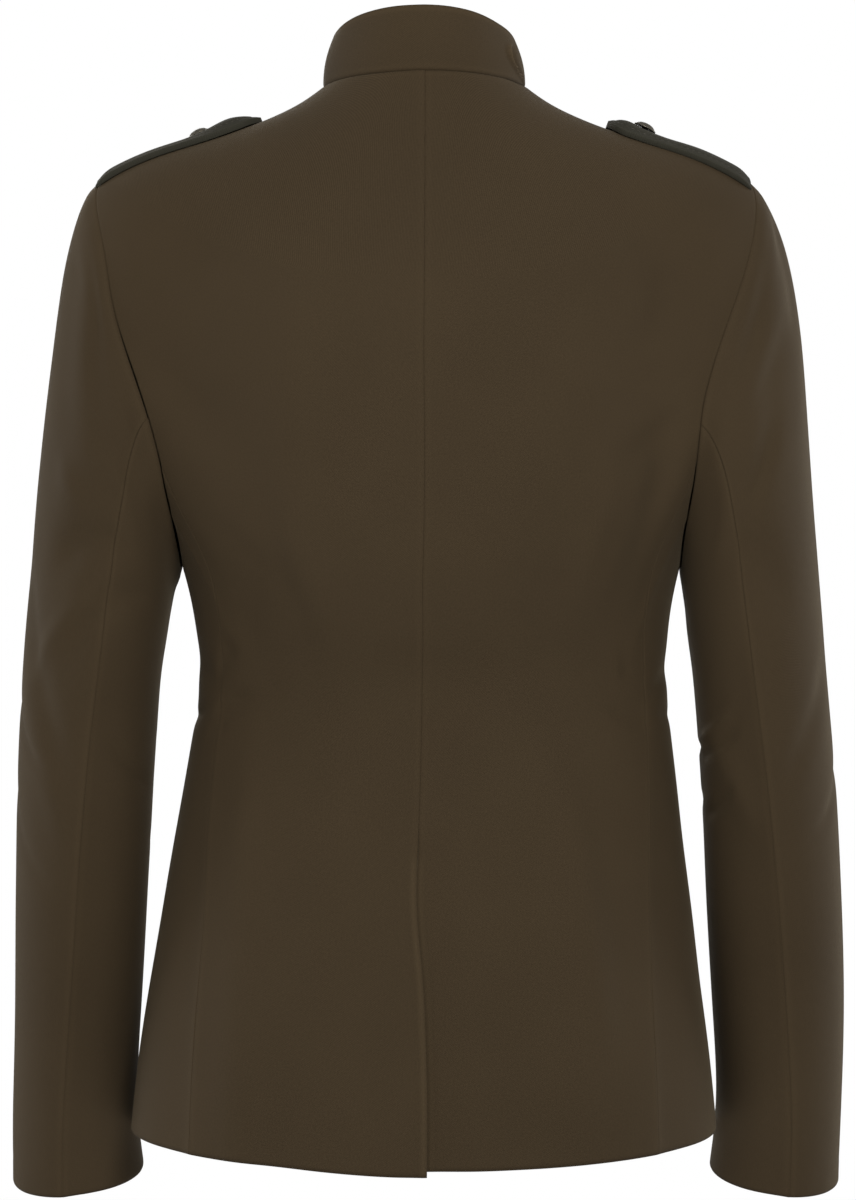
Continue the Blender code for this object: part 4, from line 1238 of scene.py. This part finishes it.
# %% Epaulette straps
def epaulette(name, side):
    tip = EPAULETTE[side][-1, 0]
    level = np.append(np.arange(-158, tip - 14, 1.6), np.linspace(tip - 14, tip, 16))[:, None]
    across = np.linspace(-1, 1, 31)
    level, across = np.broadcast_arrays(level, across)
    lower, normal = strap_grid(side, level, across)
    away = distances(lower)
    edge = np.minimum(np.minimum(away["left"], away["right"]), away["top"])
    stitched = STITCH_GROOVE * np.exp(-(((edge - STITCH_INSET) / 1.2) ** 2))
    # The outer end bends down into the armhole seam.
    bent = EPAULETTE_BEND * (1 - fade(level, -160, -143)) ** 2
    upper = lower + normal * (EPAULETTE_WALL - stitched - bent)[..., None]
    # Painted highlight: the strap is lighter along its edges.
    painted_light_and_shade = np.exp(-((edge / 1.5) ** 2))
    finish = ("strap twill", "strap twill")
    return cloth_piece(name, upper, lower, painted_light_and_shade, finish=finish, soften=1.2)


print("straps:", ", ".join(f"{2 * rows[:, 1].max():.0f} mm wide" for rows in EPAULETTE.values()))

# %% [markdown]
# ## Stitches
#
# A line of stitches runs round each strap, 5 mm in from its edge. Each stitch is a small ball stretched
# along the line, so that it lies on the cloth as a real one does. A dashed line in the material would be
# lighter, but it would stay flat when seen from the side.

# %% Stitch line
STITCH = {"length": 2.6, "gap": 1.2, "width": 0.5}


def stitches(name, points, normals, finish="thread"):
    """A row of short rounded stitches along a line of points in mm."""
    lengths = run_length(points)
    pitch = STITCH["length"] + STITCH["gap"]
    bm = bmesh.new()
    for start in np.arange(1.0, lengths[-1] - STITCH["length"], pitch):
        ends = [
            np.array([np.interp(at, lengths, points[:, axis]) for axis in range(3)])
            for at in (start, start + STITCH["length"])
        ]
        out = unit(np.array([np.interp(start, lengths, normals[:, axis]) for axis in range(3)]))
        along = unit(ends[1] - ends[0])
        made = bmesh.ops.create_icosphere(bm, subdivisions=1, radius=0.5)
        across = np.cross(out, along)
        for vertex in made["verts"]:
            x, y, z = vertex.co
            spot = (ends[0] + ends[1]) / 2 + along * x * STITCH["length"] + across * y * STITCH["width"]
            vertex.co = (spot + out * (z * STITCH["width"] + 0.05)) * MM
    return finished(name, bm, [finish])


# %% Straps with their stitches
def strap_stitches(name, side):
    """Up one side of the strap, round its nose and back along the other."""
    level = np.linspace(-150, EPAULETTE[side][-1, 0] - STITCH_INSET, 120)
    half = smooth(EPAULETTE[side], 1, level)
    inset = np.clip(1 - STITCH_INSET / half, 0.02, 1)
    levels = np.concatenate([level, level[::-1]])
    across = np.concatenate([inset, -inset[::-1]])
    lower, normal = strap_grid(side, levels, across)
    return stitches(name, lower + normal * (EPAULETTE_WALL - STITCH_GROOVE), normal)


for word, side in SIDES.items():
    strap = epaulette(f"epaulette_{word}_cloth", side)
    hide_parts(f"epaulette_{word}")
    strap_stitches(f"epaulette_stitches_{word}", side)

# %% [markdown]
# ## The buttons
#
# The buttons are domed and of dark aged metal. Spinning an outline gives the dome, its rolled rim and the
# shank under it in one step. A squashed ball would give the dome, but no rim.

# %% Button maker
BUTTON_OUTLINE = [
    # radius and height, as shares of the button's own. It starts with the shank.
    (0, -0.32), (0.28, -0.32), (0.3, 0.0), (0.9, 0.02), (0.97, 0.05), (1.0, 0.13), (0.985, 0.22),
    (0.945, 0.27), (0.9, 0.29), (0.87, 0.34), (0.84, 0.43), (0.77, 0.58), (0.66, 0.73), (0.52, 0.86),
    (0.36, 0.95), (0.18, 0.99), (0, 1.0),
]


def button(name, base, out, radius, height):
    """A domed button that stands at a base point, in mm, and faces a way out."""
    bm = bmesh.new()
    corners = [bm.verts.new((r * radius * MM, 0, z * height * MM)) for r, z in BUTTON_OUTLINE]
    edges = [bm.edges.new(pair) for pair in zip(corners, corners[1:])]
    turn = {"cent": (0, 0, 0), "axis": (0, 0, 1), "angle": 2 * math.pi, "steps": 40}
    bmesh.ops.spin(bm, geom=corners + edges, use_merge=True, **turn)
    bmesh.ops.remove_doubles(bm, verts=bm.verts, dist=1e-6)
    bmesh.ops.recalc_face_normals(bm, faces=bm.faces)
    out = unit(np.asarray(out, float))
    flat = unit(np.cross((0, 1, 0) if abs(out[1]) < 0.9 else (1, 0, 0), out))
    other = np.cross(out, flat)
    for vertex in bm.verts:
        vertex.co = base * MM + vertex.co.x * flat + vertex.co.y * other + vertex.co.z * out
    return finished(name, bm, ["button metal"])


# %% Epaulette buttons
EPAULETTE_BUTTON = {"radius": 7.0, "height": 3.4}
# Each button's mm from the middle, behind the shoulder line (in front of it if below 0), and above the strap.
EPAULETTE_BUTTON_AT = {1: (133.5, -8.0, 1.15), -1: (130.0, -1.0, 0.7)}
for word, side in SIDES.items():
    distance, behind, gap = EPAULETTE_BUTTON_AT[side]
    levels = np.linspace(-150, -60, 400)
    across = (behind - EPAULETTE_SHIFT[side]) / smooth(EPAULETTE[side], 1, levels)
    lower, normal = strap_surface(side, levels, across)
    at = np.argmin(np.abs(np.abs(lower[:, 0]) - distance))
    upper = lower + normal * EPAULETTE_WALL
    out = unit(np.cross(upper[at + 8] - upper[at - 8], (0, 1, 0)))
    out = out if out[2] > 0 else -out
    made = button(f"epaulette_button_{word}_metal", upper[at] + out * gap, out, **EPAULETTE_BUTTON)
    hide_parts(f"epaulette_button_{word}")

# %% [markdown]
# ## Front buttons and buttonholes
#
# Five larger buttons close the fronts. Each sits on the centre front line, and a long narrow ring of
# buttonhole stitches starts under it and shows beside it. The photograph hides them, so their number and
# size are those of a usual blazer. A slit cut through the cloth would be truer, but such stitches all but
# close it.

# %% Front buttons
FRONT_BUTTONS = [-88, -162, -236, -310, -384]  # heights
FRONT_BUTTON = {"radius": 10.0, "height": 6.5}
HOLE = {"length": 24.0, "width": 2.6, "from_centre": 9.0}
HOLE_TURN = np.linspace(0, 2 * math.pi, 60)
for number, height in enumerate(FRONT_BUTTONS, 1):
    levels = np.linspace(HEM, NECK, 1000)
    level = np.interp(height, smooth(RINGS, 7, levels), levels)
    out = body_facing(180.0, level, -1)
    base = body(180.0, level, -1) + out * 0.5
    made = button(f"front_button_{number}_metal", base, out, **FRONT_BUTTON)
    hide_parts(f"front_button_{number}")
    # The hole starts under the button, 3 mm past the centre front, and ends 21 mm on its other side.
    degree = np.linalg.norm(body(175.5, level, -1) - body(174.5, level, -1))
    degrees = 180 - (HOLE["from_centre"] + HOLE["length"] / 2 * np.cos(HOLE_TURN)) / degree
    levels = level + HOLE["width"] / 2 * np.sin(HOLE_TURN)
    line = body(degrees, levels, -1)
    facing = body_facing(degrees, levels, -1)
    stitches(f"buttonhole_{number}", line, facing, "buttonhole thread")

# %% [markdown]
# ## The flat pieces
#
# Each piece was cut flat before it was sewn. The photograph shows no pattern, so no flat sizes are given
# here. These sizes were measured on this model's own surface and rounded. The tools compare the two, which
# finds a slip, such as a piece at the wrong scale, but doesn't prove the sizes.

# %% [markdown]
# ## Light, floor and camera
#
# The photograph has a white ground and soft light from all round, a little stronger from the upper right.
# One lamp would be simpler, but it would cast hard shadows that the photograph doesn't have. The camera
# stands level with the middle of the back, 2.2 m away, and takes in 715 mm from top to bottom.

# %% Camera
CAMERA_DISTANCE = 2.2
FRAME_HEIGHT = 0.7152
MIDDLE = (-0.0021, 0.0, -0.305)

camera_data = bpy.data.cameras.new("Camera")
camera = bpy.data.objects.new("Camera", camera_data)
bpy.context.scene.collection.objects.link(camera)
camera_data.sensor_fit = "VERTICAL"
camera_data.sensor_height = 36
camera_data.lens = 36 * CAMERA_DISTANCE / FRAME_HEIGHT
camera_data.clip_start = 0.05
camera.location = (MIDDLE[0], CAMERA_DISTANCE, MIDDLE[2])
camera.rotation_euler = (math.radians(90), 0, math.radians(180))
bpy.context.scene.camera = camera
print("lens in mm:", round(camera_data.lens, 1))


# %% Lights
def soft_light(name, place, target, size, power):
    """A round area light that faces a target."""
    data = bpy.data.lights.new(name, "AREA")
    data.energy = power
    data.shape = "DISK"
    data.size = size
    lamp = bpy.data.objects.new(name, data)
    bpy.context.scene.collection.objects.link(lamp)
    direction = np.array(target) - np.array(place)
    turned = math.atan2(direction[0], -direction[1])
    tipped = math.atan2(math.hypot(direction[0], direction[1]), -direction[2])
    lamp.location = place
    lamp.rotation_euler = (tipped, 0, turned + math.pi)
    print(f"{name}: {power} W")


soft_light("Key", (-0.45, 1.95, 0.9), MIDDLE, 0.8, 40)
soft_light("Fill", (1.2, 1.9, -0.4), MIDDLE, 1.4, 9)
soft_light("Left rim", (1.9, -0.5, 0.0), MIDDLE, 1.0, 20)
soft_light("Right rim", (-1.9, -0.7, 0.0), MIDDLE, 1.0, 20)
soft_light("Front side", (0.3, -2.2, 0.5), MIDDLE, 1.6, 24)

# %% Floor
bm = bmesh.new()
bmesh.ops.create_grid(bm, x_segments=1, y_segments=1, size=4)
floor_mesh = bpy.data.meshes.new("Floor")
bm.to_mesh(floor_mesh)
bm.free()
floor = bpy.data.objects.new("Floor", floor_mesh)
floor.location = (0, 0, -1.45)
bpy.context.scene.collection.objects.link(floor)
plain_material("floor", (0.85, 0.85, 0.84), 0.0, 0.9, 3, 0.01)
floor_mesh.materials.append(bpy.data.materials["floor"])

# %% World
world = bpy.data.worlds.new("Studio")
bpy.context.scene.world = world
world.use_nodes = True
tree = world.node_tree
background = tree.nodes["Background"]
background.inputs["Color"].default_value = (1, 1, 1, 1)
path = node(tree, "ShaderNodeLightPath", (-600, 0))
strength = maths(tree, (-300, 0), "MULTIPLY_ADD", path.outputs["Is Camera Ray"], 0.5, 0.5)
tree.links.new(strength, background.inputs["Strength"])
bpy.context.scene.view_settings.view_transform = "Standard"
